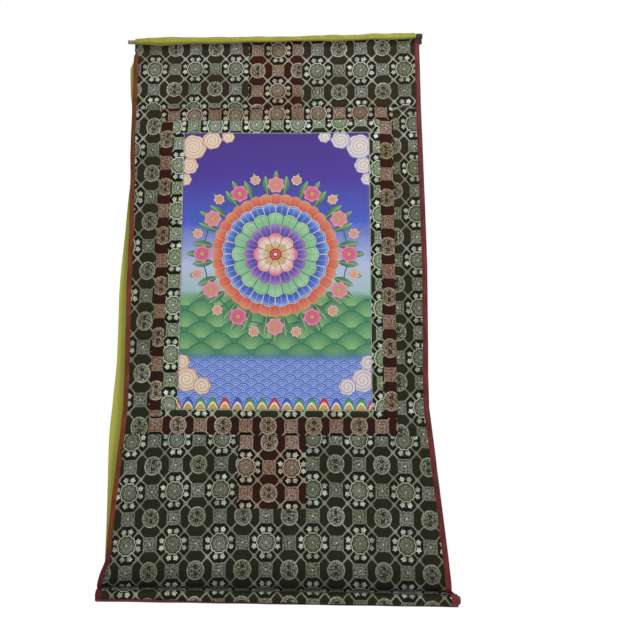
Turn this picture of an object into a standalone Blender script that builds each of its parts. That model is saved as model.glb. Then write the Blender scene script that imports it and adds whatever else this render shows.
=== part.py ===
"""Thangka scroll painting: painted cloth in a brocade mount, with a top rod, a roller and a veil.

X runs to the right, the painted side faces -Y and +Z is up. The origin is the middle of the top
rod, where the scroll hangs. Every cloth piece is a sheet laid on one hanging surface: s is the
length down the cloth from the rod's centre, and below the rod z is -s until the tuck over the
roller. The rod hangs slightly askew and bowed, so the cloth near it lies that much higher. All
lengths are in metres.
"""

import math
from collections import namedtuple

import bmesh
import bpy
import numpy as np

MM = 0.001
SEAM_GAP = 0.3 * MM
CELL = 26 * MM

# Cloth thicknesses
BROCADE_THICK = 1.6 * MM
PAINTING_THICK = 1.2 * MM
BINDING_THICK = 1.8 * MM
STRIP_THICK = 1.0 * MM
VEIL_THICK = 1.0 * MM

# Lengths down the cloth at which the seams run across
TOP_SEAM = 121 * MM
RED_TOP_HEIGHT = 22 * MM
INNER_TOP_HEIGHT = 22 * MM
PAINTING_HEIGHT = 450 * MM
INNER_BOTTOM_HEIGHT = 10 * MM
RED_BOTTOM_HEIGHT = 27 * MM
INNER_TOP = TOP_SEAM + RED_TOP_HEIGHT
PAINTING_TOP = INNER_TOP + INNER_TOP_HEIGHT
PAINTING_BOTTOM = PAINTING_TOP + PAINTING_HEIGHT
RED_BOTTOM = PAINTING_BOTTOM + INNER_BOTTOM_HEIGHT
BOTTOM_SEAM = RED_BOTTOM + RED_BOTTOM_HEIGHT

# Doors: the red panels above and below the painting
TOP_DOOR_LEFT = -49 * MM
TOP_DOOR_RIGHT = 42 * MM
BOTTOM_DOOR_LEFT = -51 * MM
BOTTOM_DOOR_RIGHT = 49 * MM
BOTTOM_DOOR_END = BOTTOM_SEAM + 106 * MM

# Bindings down the side edges: they widen on the roller. The left one starts below the rod's
# sleeve, the right one goes over its end
BINDING_WIDTH = 8.6 * MM
BINDING_WIDTH_ON_ROLL = 10 * MM
BINDING_WIDTH_ON_ROD = 11 * MM
BINDING_LEFT_START = 24 * MM
FLARE_START = 835 * MM

# Seams that run down the mount, as x at the top and at the bottom of the painting
Seam = namedtuple("Seam", "top bottom")
RED_LEFT = Seam(-188.5 * MM, -186 * MM)
INNER_LEFT = Seam(-168.5 * MM, -168.4 * MM)
PAINTING_LEFT = Seam(-150 * MM, -144 * MM)
PAINTING_RIGHT = Seam(150.2 * MM, 148 * MM)
INNER_RIGHT = Seam(165.3 * MM, 162.6 * MM)
RED_RIGHT = Seam(186.5 * MM, 183 * MM)

# Outer edges of the mount, drawn in at the waist and flared towards the roller
Edge = namedtuple("Edge", "s left right")
MOUNT_EDGES = (
    Edge(2 * MM, -238 * MM, 240 * MM),
    Edge(16 * MM, -238.9 * MM, 234.9 * MM),
    Edge(110 * MM, -238 * MM, 234.4 * MM),
    Edge(165 * MM, -237.2 * MM, 234.8 * MM),
    Edge(205 * MM, -236.4 * MM, 235.2 * MM),
    Edge(250 * MM, -233.6 * MM, 235.4 * MM),
    Edge(282 * MM, -233.2 * MM, 235.8 * MM),
    Edge(335 * MM, -231.7 * MM, 236.1 * MM),
    Edge(387 * MM, -231.1 * MM, 236.4 * MM),
    Edge(413 * MM, -230.8 * MM, 235.8 * MM),
    Edge(463 * MM, -229.8 * MM, 234.8 * MM),
    Edge(515 * MM, -227.8 * MM, 233.6 * MM),
    Edge(562 * MM, -226.4 * MM, 232.3 * MM),
    Edge(608 * MM, -225.7 * MM, 232 * MM),
    Edge(657 * MM, -227.8 * MM, 236.4 * MM),
    Edge(705 * MM, -231.6 * MM, 240.8 * MM),
    Edge(750 * MM, -235.1 * MM, 245.2 * MM),
    Edge(795 * MM, -237.7 * MM, 249.6 * MM),
    Edge(835 * MM, -239 * MM, 253 * MM),
    Edge(841 * MM, -242 * MM, 253.6 * MM),
    Edge(850 * MM, -245.6 * MM, 254.3 * MM),
    Edge(862 * MM, -249.3 * MM, 255.5 * MM),
    Edge(869 * MM, -250.3 * MM, 262 * MM),
    Edge(879 * MM, -250.3 * MM, 263.4 * MM),
    Edge(889 * MM, -250.3 * MM, 264 * MM),
    Edge(900 * MM, -250.3 * MM, 264.5 * MM),
)
VEIL_EDGES = (
    Edge(0 * MM, -237.5 * MM, 228 * MM),
    Edge(45 * MM, -245.5 * MM, 228 * MM),
    Edge(89 * MM, -243.8 * MM, 228 * MM),
    Edge(120 * MM, -240 * MM, 228 * MM),
    Edge(248 * MM, -237 * MM, 228 * MM),
    Edge(330 * MM, -240.7 * MM, 227.4 * MM),
    Edge(410 * MM, -244 * MM, 226.2 * MM),
    Edge(436 * MM, -244.4 * MM, 225.8 * MM),
    Edge(538 * MM, -241.8 * MM, 224.8 * MM),
    Edge(650 * MM, -247 * MM, 223.7 * MM),
    Edge(754 * MM, -244.5 * MM, 222.8 * MM),
    Edge(845 * MM, -242.3 * MM, 222 * MM),
)

# Soft troughs and ridges of the hanging mount: depth is towards the front, tilt from upright
Fold = namedtuple("Fold", "x s length width tilt depth")
MOUNT_FOLDS = (
    Fold(-205 * MM, 400 * MM, 240 * MM, 38 * MM, 1, -4.5 * MM),
    Fold(-120 * MM, 330 * MM, 260 * MM, 60 * MM, 3, 2.2 * MM),
    Fold(40 * MM, 420 * MM, 300 * MM, 75 * MM, -4, -1.8 * MM),
    Fold(215 * MM, 480 * MM, 210 * MM, 34 * MM, -2, -3.5 * MM),
    Fold(130 * MM, 210 * MM, 200 * MM, 55 * MM, 5, 1.8 * MM),
    Fold(-165 * MM, 745 * MM, 110 * MM, 26 * MM, 34, 3.4 * MM),
    Fold(180 * MM, 750 * MM, 115 * MM, 28 * MM, -36, 3.6 * MM),
    Fold(-60 * MM, 775 * MM, 60 * MM, 42 * MM, 82, 2.4 * MM),
    Fold(95 * MM, 700 * MM, 85 * MM, 30 * MM, 74, -2.2 * MM),
    Fold(0 * MM, 830 * MM, 230 * MM, 22 * MM, 90, 2.0 * MM),
)
FOLDS_BEGIN = 24 * MM
FOLDS_FULL = 110 * MM
FOLDS_EASE = 790 * MM

# Tuck: the cloth turns back over TUCK_BEND, folds forward in a crease and goes round the roller
TUCK_START = 850 * MM
TUCK_BEND_RADIUS = 14 * MM
TUCK_BEND = 42
TUCK_RUN = 4 * MM
CREASE_RADIUS = 2.2 * MM
SLEEVE_RADIUS = 12.6 * MM
SLEEVE_END = 248
BEND_STEP = 11
CREASE_STEP = 27
SLEEVE_STEP = 16
ROLLER_RADIUS = 11.2 * MM
ROLLER_LEFT = -251.3 * MM
ROLLER_RIGHT = 267.2 * MM
ROLLER_SIDES = 28

# Maroon strip under the sleeve, as angles round the roller: 0 is the front and 90 the underside
UNDER_STRIP_START = 38
UNDER_STRIP_END = 122
UNDER_STRIP_STEP = 14

# Top rod and the sleeve of the top panels round it
ROD_RADIUS = 4 * MM
ROD_LEFT = -250.5 * MM
ROD_RIGHT = 239 * MM
ROD_SIDES = 16
ROD_TILT = 0.0081
ROD_BOW = 0.0548
ROD_LIFT_END = 100 * MM
ROD_SLEEVE_RADIUS = 5.1 * MM
ROD_BEND_RADIUS = 8 * MM
ROD_BEND = 25
ROD_SLEEVE_STEP = 24
ROD_HEM_TILT = 15
ROD_HEM = 9 * MM

# Veil: over the rod from the front, then down the back, clear of the mount
VEIL_RADIUS = ROD_SLEEVE_RADIUS + BROCADE_THICK / 2 + 0.4 * MM + VEIL_THICK / 2
VEIL_BACK = 13 * MM
VEIL_SETTLED = 130 * MM
VEIL_LENGTH = 845 * MM
VEIL_STEP = 30
VEIL_ROWS = 26
VEIL_COLUMNS = 26
# Lower edge of the veil at the front, as depth below the rod's middle
Drop = namedtuple("Drop", "x depth")
VEIL_FRONT = (
    Drop(-237 * MM, 5.0 * MM),
    Drop(-199 * MM, 5.8 * MM),
    Drop(-170 * MM, 5.0 * MM),
    Drop(-112 * MM, 2.8 * MM),
    Drop(-79 * MM, 1.8 * MM),
    Drop(14 * MM, 0.8 * MM),
    Drop(107 * MM, 1.5 * MM),
    Drop(153 * MM, 2.9 * MM),
    Drop(190 * MM, 3.5 * MM),
    Drop(228 * MM, 5.6 * MM),
)
Dip = namedtuple("Dip", "x width depth")
VEIL_FOLDS = (
    Dip(-222 * MM, 16 * MM, 1.8 * MM),
    Dip(-168 * MM, 22 * MM, -2.2 * MM),
    Dip(-96 * MM, 26 * MM, 2.4 * MM),
    Dip(-22 * MM, 24 * MM, -2.0 * MM),
    Dip(52 * MM, 30 * MM, 2.2 * MM),
    Dip(128 * MM, 22 * MM, -2.4 * MM),
    Dip(192 * MM, 20 * MM, 2.0 * MM),
)
VEIL_HEM_SWAY = 5 * MM

# Colours as linear values
OLIVE_BROCADE = (0.045, 0.047, 0.032)
RED_BROCADE = (0.075, 0.028, 0.022)
PAINTED_CLOTH = (0.22, 0.20, 0.42)
ORANGE_RED_SILK = (0.18, 0.035, 0.012)
CRIMSON_SILK = (0.15, 0.025, 0.035)
MAROON_SILK = (0.09, 0.014, 0.018)
YELLOW_GREEN_SILK = (0.31, 0.36, 0.045)
GREY_WOOD = (0.27, 0.26, 0.15)
DARK_WOOD = (0.035, 0.022, 0.015)


def clear_scene():
    """Remove every object and every unused mesh and material."""
    for obj in list(bpy.data.objects):
        bpy.data.objects.remove(obj, do_unlink=True)
    for store in (bpy.data.meshes, bpy.data.materials, bpy.data.collections):
        for block in list(store):
            store.remove(block)


def make_material(name, colour, roughness, metallic=0.0):
    """Make one Principled material."""
    material = bpy.data.materials.new(name)
    material.use_nodes = True
    shader = material.node_tree.nodes["Principled BSDF"]
    shader.inputs["Base Color"].default_value = (*colour, 1.0)
    shader.inputs["Roughness"].default_value = roughness
    shader.inputs["Metallic"].default_value = metallic
    return material


def smooth_step(value, low, high):
    """Rise evenly from 0 at low to 1 at high, with flat ends."""
    part = min(max((value - low) / (high - low), 0.0), 1.0)
    return part * part * (3 - 2 * part)


def edge_at(edges, s, side):
    """Read one side of an edge table at s, straight between its rows."""
    return float(np.interp(s, [row.s for row in edges], [getattr(row, side) for row in edges]))


def seam_at(seam, s):
    """Read x of a seam that runs down the mount."""
    part = min(max((s - PAINTING_TOP) / PAINTING_HEIGHT, 0.0), 1.0)
    return seam.top + (seam.bottom - seam.top) * part


def fold_depth(fold, x, s):
    """Height of one soft fold at a point, as a bell along and across its own line."""
    tilt = math.radians(fold.tilt)
    along = (x - fold.x) * math.sin(tilt) + (s - fold.s) * math.cos(tilt)
    across = (x - fold.x) * math.cos(tilt) - (s - fold.s) * math.sin(tilt)
    return fold.depth * math.exp(-(along / fold.length) ** 2 - (across / fold.width) ** 2)


def rod_lift(x):
    """Height of the rod's middle at x: a slight tilt and bow, none at the origin."""
    return ROD_TILT * x + ROD_BOW * x * x


def hang_offset(x, s):
    """Give y of the hanging mount: the folds, faded out at the rod and at the tuck."""
    fade = smooth_step(s, FOLDS_BEGIN, FOLDS_FULL) * (1 - smooth_step(s, FOLDS_EASE, TUCK_START))
    return -fade * sum(fold_depth(fold, x, s) for fold in MOUNT_FOLDS)


class Path:
    """A section line in y and z, walked as straight runs and arcs and read by its length."""

    def __init__(self, y, z, heading):
        self.points = [(y, z)]
        self.lengths = [0.0]
        self.heading = heading

    def run(self, length):
        """Go straight on."""
        y, z = self.points[-1]
        angle = math.radians(self.heading)
        self.points.append((y + length * math.cos(angle), z + length * math.sin(angle)))
        self.lengths.append(self.lengths[-1] + length)
        return self

    def turn(self, radius, angle, step):
        """Turn by angle, positive anticlockwise, in short chords of an arc."""
        count = max(1, math.ceil(abs(angle) / step))
        part = angle / count
        chord = 2 * radius * math.sin(math.radians(abs(part)) / 2)
        for _ in range(count):
            self.heading += part / 2
            self.run(chord)
            self.heading += part / 2
        return self

    def at(self, length):
        """Read y and z at a length along the line."""
        ys, zs = zip(*self.points)
        return float(np.interp(length, self.lengths, ys)), float(np.interp(length, self.lengths, zs))


def tuck_path():
    """From the hanging plane into the tuck and round the roller, front first."""
    path = Path(0.0, -TUCK_START, -90)
    path.turn(TUCK_BEND_RADIUS, TUCK_BEND, BEND_STEP)
    path.run(TUCK_RUN)
    path.turn(CREASE_RADIUS, -(TUCK_BEND + 90), CREASE_STEP)
    path.turn(SLEEVE_RADIUS, SLEEVE_END + 90, SLEEVE_STEP)
    return path


def rod_sleeve_start():
    """Length down the cloth at which it starts to bend forward round the rod."""
    bend = math.radians(ROD_BEND)
    reach = ROD_SLEEVE_RADIUS * math.cos(bend) - ROD_BEND_RADIUS * (1 - math.cos(bend))
    slope_run = reach / math.sin(bend)
    rise = (ROD_SLEEVE_RADIUS + ROD_BEND_RADIUS) * math.sin(bend) + slope_run * math.cos(bend)
    return rise, slope_run


def rod_path():
    """From the hanging plane up the front of the rod, over it and down to the hem behind."""
    rise, slope_run = rod_sleeve_start()
    path = Path(0.0, -rise, 90)
    path.turn(ROD_BEND_RADIUS, ROD_BEND, ROD_BEND)
    path.run(slope_run)
    path.turn(ROD_SLEEVE_RADIUS, -(ROD_BEND + 180 + ROD_HEM_TILT), ROD_SLEEVE_STEP)
    path.run(ROD_HEM)
    return path


TUCK = tuck_path()
ROD_WRAP = rod_path()
SLEEVE_START = rod_sleeve_start()[0]


def roller_centre():
    """Centre of the roller in y and z, below the end of the crease."""
    crease_end = Path(0.0, -TUCK_START, -90)
    crease_end.turn(TUCK_BEND_RADIUS, TUCK_BEND, BEND_STEP)
    crease_end.run(TUCK_RUN)
    crease_end.turn(CREASE_RADIUS, -(TUCK_BEND + 90), CREASE_STEP)
    y, z = crease_end.points[-1]
    return y, z - SLEEVE_RADIUS


def mount_point(x, s):
    """Place a point of the mount: on the rod's sleeve, the hanging plane or the tuck."""
    lift = rod_lift(x) * (1 - smooth_step(s, SLEEVE_START, ROD_LIFT_END))
    if s < SLEEVE_START:
        y, z = ROD_WRAP.at(SLEEVE_START - s)
        return x, y, z + lift
    if s > TUCK_START:
        return (x, *TUCK.at(s - TUCK_START))
    return x, hang_offset(x, s), lift - s


def even_stations(start, end, cell=CELL):
    """Evenly spaced stations no further apart than a cell."""
    count = max(1, math.ceil(abs(end - start) / cell))
    return [start + (end - start) * i / count for i in range(count + 1)]


def tuck_stations():
    """Stations at each chord of the tuck and the sleeve."""
    return [TUCK_START + length for length in TUCK.lengths[1:]]


def rod_stations():
    """Stations at each chord of the rod's sleeve, from the hem behind to the hanging plane."""
    return [SLEEVE_START - length for length in reversed(ROD_WRAP.lengths)]


def add_to_scene(obj, material, parent):
    """Link an object into the collection, give it its material and its parent."""
    for home in list(obj.users_collection):
        home.objects.unlink(obj)
    parent.users_collection[0].objects.link(obj)
    obj.data.materials.clear()
    obj.data.materials.append(material)
    obj.parent = parent
    return obj


def make_sheet(name, rows, columns, place, thickness, material, parent, cut=None):
    """Lay a grid on the cloth and give it thickness.

    rows and columns are counts of cells, and place gives the point of row i and column j. A cell
    for which cut is true is left out, as at a notch.
    """
    mesh = bpy.data.meshes.new(name)
    sheet = bmesh.new()
    bmesh.ops.create_grid(sheet, x_segments=columns, y_segments=rows, size=0.5)
    index = {}
    for vert in sheet.verts:
        column = round((vert.co.x + 0.5) * columns)
        row = round((0.5 - vert.co.y) * rows)
        index[vert] = (row, column)
    if cut:
        dropped = [face for face in sheet.faces
                   if cut(min(index[v][0] for v in face.verts), min(index[v][1] for v in face.verts))]
        bmesh.ops.delete(sheet, geom=dropped, context="FACES")
    for vert in sheet.verts:
        vert.co = place(*index[vert])
    sheet.normal_update()
    sheet.to_mesh(mesh)
    sheet.free()
    mesh.shade_smooth()
    obj = bpy.data.objects.new(name, mesh)
    parent.users_collection[0].objects.link(obj)
    wall = obj.modifiers.new("cloth", "SOLIDIFY")
    wall.thickness = thickness
    wall.offset = 0.0
    wall.use_even_offset = True
    return add_to_scene(obj, material, parent)


def mount_piece(name, stations, left, right, material, parent, thickness=BROCADE_THICK, cell=CELL):
    """Make a piece of the mount between two side lines, given as functions of s."""
    widest = max(right(s) - left(s) for s in stations)
    columns = max(1, math.ceil(widest / cell))

    def place(row, column):
        s = stations[row]
        return mount_point(left(s) + (right(s) - left(s)) * column / columns, s)

    return make_sheet(name, len(stations) - 1, columns, place, thickness, material, parent)


def sewn(seam, side):
    """Side line along a seam, half a gap short of it: side is 1 for a left edge, -1 for a right."""
    return lambda s: seam_at(seam, s) + side * SEAM_GAP / 2


def straight(x, side):
    """Upright side line, half a gap short of a straight seam."""
    return lambda s: x + side * SEAM_GAP / 2


def band(start, end, cell=CELL):
    """Stations between two cross seams, half a gap short of both."""
    return even_stations(start + SEAM_GAP / 2, end - SEAM_GAP / 2, cell)


def binding_width(s):
    """Width of the side binding: it widens where it goes over the rod and round the roller."""
    on_rod = 1 - smooth_step(s, MOUNT_EDGES[0].s, MOUNT_EDGES[1].s)
    on_roll = smooth_step(s, TUCK_START, MOUNT_EDGES[-1].s)
    return (BINDING_WIDTH + (BINDING_WIDTH_ON_ROD - BINDING_WIDTH) * on_rod
            + (BINDING_WIDTH_ON_ROLL - BINDING_WIDTH) * on_roll)


def left_panel_edge(s):
    """Left side line of a panel: at the mount's edge above the binding, inside it below."""
    covered = smooth_step(s, BINDING_LEFT_START - 7 * MM, BINDING_LEFT_START - 1 * MM)
    return edge_at(MOUNT_EDGES, s, "left") + covered * (binding_width(s) + SEAM_GAP)


def right_panel_edge(s):
    """Right side line of a panel, inside the binding all the way."""
    return edge_at(MOUNT_EDGES, s, "right") - binding_width(s) - SEAM_GAP


def make_painting(materials, parent):
    """Painted cloth, a little narrower at its lower end."""
    mount_piece("painting", band(PAINTING_TOP, PAINTING_BOTTOM), sewn(PAINTING_LEFT, 1),
                sewn(PAINTING_RIGHT, -1), materials["painting"], parent, PAINTING_THICK)


def make_strips(materials, parent):
    """Inner olive strips, red strips and outer olive side strips round the painting."""
    sides = (
        ("inner_strip_left", "inner", PAINTING_TOP, PAINTING_BOTTOM,
         sewn(INNER_LEFT, 1), sewn(PAINTING_LEFT, -1)),
        ("inner_strip_right", "inner", PAINTING_TOP, PAINTING_BOTTOM,
         sewn(PAINTING_RIGHT, 1), sewn(INNER_RIGHT, -1)),
        ("inner_strip_top", "inner", INNER_TOP, PAINTING_TOP,
         sewn(INNER_LEFT, 1), sewn(INNER_RIGHT, -1)),
        ("inner_strip_bottom", "inner", PAINTING_BOTTOM, RED_BOTTOM,
         sewn(INNER_LEFT, 1), sewn(INNER_RIGHT, -1)),
        ("red_strip_left", "red", INNER_TOP, RED_BOTTOM,
         sewn(RED_LEFT, 1), sewn(INNER_LEFT, -1)),
        ("red_strip_right", "red", INNER_TOP, RED_BOTTOM,
         sewn(INNER_RIGHT, 1), sewn(RED_RIGHT, -1)),
        ("red_strip_top", "red", TOP_SEAM, INNER_TOP,
         sewn(RED_LEFT, 1), sewn(RED_RIGHT, -1)),
        ("red_strip_bottom", "red", RED_BOTTOM, BOTTOM_SEAM,
         sewn(RED_LEFT, 1), sewn(RED_RIGHT, -1)),
        ("outer_strip_left", "outer", TOP_SEAM, BOTTOM_SEAM, left_panel_edge,
         sewn(RED_LEFT, -1)),
        ("outer_strip_right", "outer", TOP_SEAM, BOTTOM_SEAM, sewn(RED_RIGHT, 1),
         right_panel_edge),
    )
    for name, finish, start, end, left, right in sides:
        mount_piece(name, band(start, end), left, right, materials[finish], parent)


def make_top(materials, parent):
    """Top panel in two pieces with the red door between, all with the rod's sleeve above."""
    hanging = even_stations(SLEEVE_START, TOP_SEAM - SEAM_GAP / 2)
    edge_rows = [MOUNT_EDGES[1].s, BINDING_LEFT_START]
    stations = rod_stations() + sorted(set(hanging[1:] + edge_rows))
    mount_piece("top_panel_left", stations, left_panel_edge,
                straight(TOP_DOOR_LEFT, -1), materials["top"], parent)
    mount_piece("top_panel_right", stations, straight(TOP_DOOR_RIGHT, 1), right_panel_edge,
                materials["top"], parent)
    mount_piece("top_door", stations, straight(TOP_DOOR_LEFT, 1), straight(TOP_DOOR_RIGHT, -1),
                materials["door"], parent)


def make_bottom_panel(materials, parent):
    """Bottom panel with its notch for the door, then the tuck and the roller's sleeve."""
    left, right = left_panel_edge, right_panel_edge
    beside_door = even_stations(BOTTOM_SEAM + SEAM_GAP / 2, BOTTOM_DOOR_END + SEAM_GAP / 2)
    below_door = even_stations(BOTTOM_DOOR_END + SEAM_GAP / 2, TUCK_START)
    stations = beside_door + below_door[1:-1] + [FLARE_START, TUCK_START] + tuck_stations()
    door_left = BOTTOM_DOOR_LEFT - SEAM_GAP / 2
    door_right = BOTTOM_DOOR_RIGHT + SEAM_GAP / 2
    side_cells = math.ceil((door_left - left(BOTTOM_SEAM)) / (CELL + 2 * MM))
    door_cells = math.ceil((door_right - door_left) / (CELL + 2 * MM))
    columns = 2 * side_cells + door_cells
    marks = (0, side_cells, side_cells + door_cells, columns)

    def place(row, column):
        s = stations[row]
        return mount_point(float(np.interp(column, marks, (left(s), door_left, door_right, right(s)))), s)

    def in_notch(row, column):
        return row < len(beside_door) - 1 and side_cells <= column < side_cells + door_cells

    make_sheet("bottom_panel", len(stations) - 1, columns, place, BROCADE_THICK,
               materials["bottom"], parent, in_notch)


def make_bottom_door(materials, parent):
    """Red door below the painting, in the bottom panel's notch."""
    mount_piece("bottom_door", band(BOTTOM_SEAM, BOTTOM_DOOR_END), straight(BOTTOM_DOOR_LEFT, 1),
                straight(BOTTOM_DOOR_RIGHT, -1), materials["door"], parent)


def make_bindings(materials, parent):
    """Narrow bindings down both side edges and on round the ends of the sleeve."""
    below_rod = even_stations(MOUNT_EDGES[1].s, TUCK_START, 1.2 * CELL)
    for side, sign, hanging in (
            ("left", 1, even_stations(BINDING_LEFT_START, TUCK_START, 1.2 * CELL)),
            ("right", -1, rod_stations() + below_rod)):
        stations = hanging[:-1] + [FLARE_START, TUCK_START] + tuck_stations()

        def outer(s, side=side):
            return edge_at(MOUNT_EDGES, s, side)

        def inner(s, side=side, sign=sign):
            return edge_at(MOUNT_EDGES, s, side) + sign * binding_width(s)

        low, high = (outer, inner) if side == "left" else (inner, outer)
        mount_piece("binding_" + side, stations, low, high, materials["binding_" + side],
                    parent, BINDING_THICK)


def make_under_strip(materials, parent):
    """Maroon strip along the underside of the sleeve."""
    centre_y, centre_z = roller_centre()
    radius = SLEEVE_RADIUS + BINDING_THICK / 2 + SEAM_GAP + STRIP_THICK / 2
    left = edge_at(MOUNT_EDGES, MOUNT_EDGES[-1].s, "left")
    right = edge_at(MOUNT_EDGES, MOUNT_EDGES[-1].s, "right")
    rows = math.ceil((UNDER_STRIP_END - UNDER_STRIP_START) / UNDER_STRIP_STEP)
    columns = math.ceil((right - left) / (2 * CELL))

    def place(row, column):
        angle = math.radians(UNDER_STRIP_START + (UNDER_STRIP_END - UNDER_STRIP_START) * row / rows)
        x = left + (right - left) * column / columns
        return x, centre_y - radius * math.cos(angle), centre_z - radius * math.sin(angle)

    make_sheet("under_strip", rows, columns, place, STRIP_THICK, materials["under_strip"], parent)


def bells(table, x):
    """Sum of soft bells along x, from a table of dips or folds."""
    return sum(row.depth * math.exp(-((x - row.x) / row.width) ** 2) for row in table)


def veil_point(x_part, over, down):
    """Place a point of the veil: over is the angle round the rod, down the length behind it."""
    left = edge_at(VEIL_EDGES, down, "left")
    right = edge_at(VEIL_EDGES, down, "right")
    x = left + (right - left) * x_part
    if over is not None:
        angle = math.radians(over)
        return x, -VEIL_RADIUS * math.cos(angle), VEIL_RADIUS * math.sin(angle) + rod_lift(x)
    settled = smooth_step(down, 0.0, VEIL_SETTLED)
    y = VEIL_RADIUS + settled * (VEIL_BACK - VEIL_RADIUS + bells(VEIL_FOLDS, x))
    sway = VEIL_HEM_SWAY * math.sin(math.pi * (3 * x_part + 0.2)) * (down / VEIL_LENGTH) ** 4
    return x, y, rod_lift(x) * (1 - settled) - down - sway


def make_veil(materials, parent):
    """Silk veil: a short uneven front edge, over the rod, and a long fall behind the mount."""
    arc = list(range(0, 181, VEIL_STEP))
    fall = even_stations(0.0, VEIL_LENGTH, VEIL_LENGTH / VEIL_ROWS)[1:]
    rows = 1 + len(arc) - 1 + len(fall)

    def place(row, column):
        x_part = column / VEIL_COLUMNS
        if row == 0:
            x, y, z = veil_point(x_part, 0, 0.0)
            return x, y, z - np.interp(x, [row.x for row in VEIL_FRONT], [row.depth for row in VEIL_FRONT])
        if row <= len(arc):
            return veil_point(x_part, arc[row - 1], 0.0)
        return veil_point(x_part, None, fall[row - 1 - len(arc)])

    make_sheet("veil", rows, VEIL_COLUMNS, place, VEIL_THICK, materials["veil"], parent)


def make_bar(name, radius, left, right, centre, sides, material, parent, lift=None):
    """Round bar along X with slightly rounded ends. lift gives its rise at x, if it isn't straight."""
    mesh = bpy.data.meshes.new(name)
    solid = bmesh.new()
    rings = []
    for x in even_stations(left, right) if lift else (left, right):
        rise = lift(x) if lift else 0.0
        rings.append([
            solid.verts.new((x, centre[0] + radius * math.cos(2 * math.pi * i / sides),
                             centre[1] + rise + radius * math.sin(2 * math.pi * i / sides)))
            for i in range(sides)])
    for near, far in zip(rings, rings[1:]):
        for i in range(sides):
            after = (i + 1) % sides
            solid.faces.new((near[i], near[after], far[after], far[i]))
    solid.faces.new(rings[0][::-1])
    solid.faces.new(rings[-1])
    bmesh.ops.recalc_face_normals(solid, faces=solid.faces)
    solid.to_mesh(mesh)
    solid.free()
    bar = bpy.data.objects.new(name, mesh)
    parent.users_collection[0].objects.link(bar)
    bar.data.shade_smooth()
    bar.data.set_sharp_from_angle(angle=math.radians(40))
    rounding = bar.modifiers.new("rounding", "BEVEL")
    rounding.width = radius / 8
    rounding.segments = 2
    rounding.limit_method = "ANGLE"
    rounding.angle_limit = math.radians(40)
    return add_to_scene(bar, material, parent)


def make_hanging_point():
    """Empty at the middle of the rod that every piece hangs from, in the object's collection."""
    collection = bpy.data.collections.new("thangka_scroll_painting")
    bpy.context.scene.collection.children.link(collection)
    empty = bpy.data.objects.new("hanging_point", None)
    collection.objects.link(empty)
    return empty


def make_materials():
    """One material for each kind of cloth or wood."""
    return {
        "painting": make_material("painted_cloth", PAINTED_CLOTH, 0.6),
        "inner": make_material("inner_olive_brocade", OLIVE_BROCADE, 0.55),
        "red": make_material("red_strip_brocade", RED_BROCADE, 0.55),
        "outer": make_material("outer_olive_brocade", OLIVE_BROCADE, 0.55),
        "top": make_material("top_olive_brocade", OLIVE_BROCADE, 0.55),
        "bottom": make_material("bottom_olive_brocade", OLIVE_BROCADE, 0.55),
        "door": make_material("door_red_brocade", RED_BROCADE, 0.55),
        "binding_left": make_material("orange_red_binding", ORANGE_RED_SILK, 0.5),
        "binding_right": make_material("crimson_binding", CRIMSON_SILK, 0.5),
        "under_strip": make_material("maroon_strip", MAROON_SILK, 0.5),
        "veil": make_material("yellow_green_veil", YELLOW_GREEN_SILK, 0.45),
        "rod": make_material("grey_wood", GREY_WOOD, 0.6),
        "roller": make_material("dark_wood", DARK_WOOD, 0.5),
    }


def build():
    """Make every piece of the scroll."""
    clear_scene()
    parent = make_hanging_point()
    materials = make_materials()
    make_bar("top_rod", ROD_RADIUS, ROD_LEFT, ROD_RIGHT, (0.0, 0.0), ROD_SIDES,
             materials["rod"], parent, rod_lift)
    make_bar("bottom_roller", ROLLER_RADIUS, ROLLER_LEFT, ROLLER_RIGHT, roller_centre(),
             ROLLER_SIDES, materials["roller"], parent)
    make_painting(materials, parent)
    make_strips(materials, parent)
    make_top(materials, parent)
    make_bottom_panel(materials, parent)
    make_bottom_door(materials, parent)
    make_bindings(materials, parent)
    make_under_strip(materials, parent)
    make_veil(materials, parent)


build()
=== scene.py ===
"""Looks of the thangka scroll painting: cloth, thread, wood, floor, light and camera.

X runs to the right, the painted side faces -Y and +Z is up, in metres. The origin is the middle of
the top rod. s is the length down the cloth from the rod's centre, as in the packed model.
"""

import logging  # noqa: E402
import math  # noqa: E402
from collections.abc import Callable  # noqa: E402
from dataclasses import dataclass  # noqa: E402
from enum import Enum  # noqa: E402

import bpy  # noqa: E402
import numpy as np  # noqa: E402
from mathutils import Matrix, Vector  # noqa: E402
from numpy.typing import NDArray  # noqa: E402


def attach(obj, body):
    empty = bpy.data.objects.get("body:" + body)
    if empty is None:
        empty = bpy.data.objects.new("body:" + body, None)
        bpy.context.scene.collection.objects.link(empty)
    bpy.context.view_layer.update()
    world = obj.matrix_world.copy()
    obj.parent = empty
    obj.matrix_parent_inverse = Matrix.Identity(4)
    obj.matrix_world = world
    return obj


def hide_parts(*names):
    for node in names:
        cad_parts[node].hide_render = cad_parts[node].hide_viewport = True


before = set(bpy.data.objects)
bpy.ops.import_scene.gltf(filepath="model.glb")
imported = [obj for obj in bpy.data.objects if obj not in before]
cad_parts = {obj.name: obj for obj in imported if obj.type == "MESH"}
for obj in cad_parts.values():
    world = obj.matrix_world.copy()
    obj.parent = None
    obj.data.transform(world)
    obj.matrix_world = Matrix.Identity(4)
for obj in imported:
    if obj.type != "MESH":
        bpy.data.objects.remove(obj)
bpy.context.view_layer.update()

log = logging.getLogger("scroll")

Numbers = NDArray[np.float64]
Line = Callable[[Numbers], Numbers]
Colour = tuple[float, float, float, float]

MM = 0.001
BODY = "root"

# Flat size of the painted cloth, in millimetres
CORE_WIDTH, CORE_LENGTH = 300, 450
# Distance of two medallions of the brocade across and down, in millimetres
PITCH_X, PITCH_S = 33.7, 36.75
# One turn in radians, for the waves of the materials
TURN = 6.283
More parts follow.
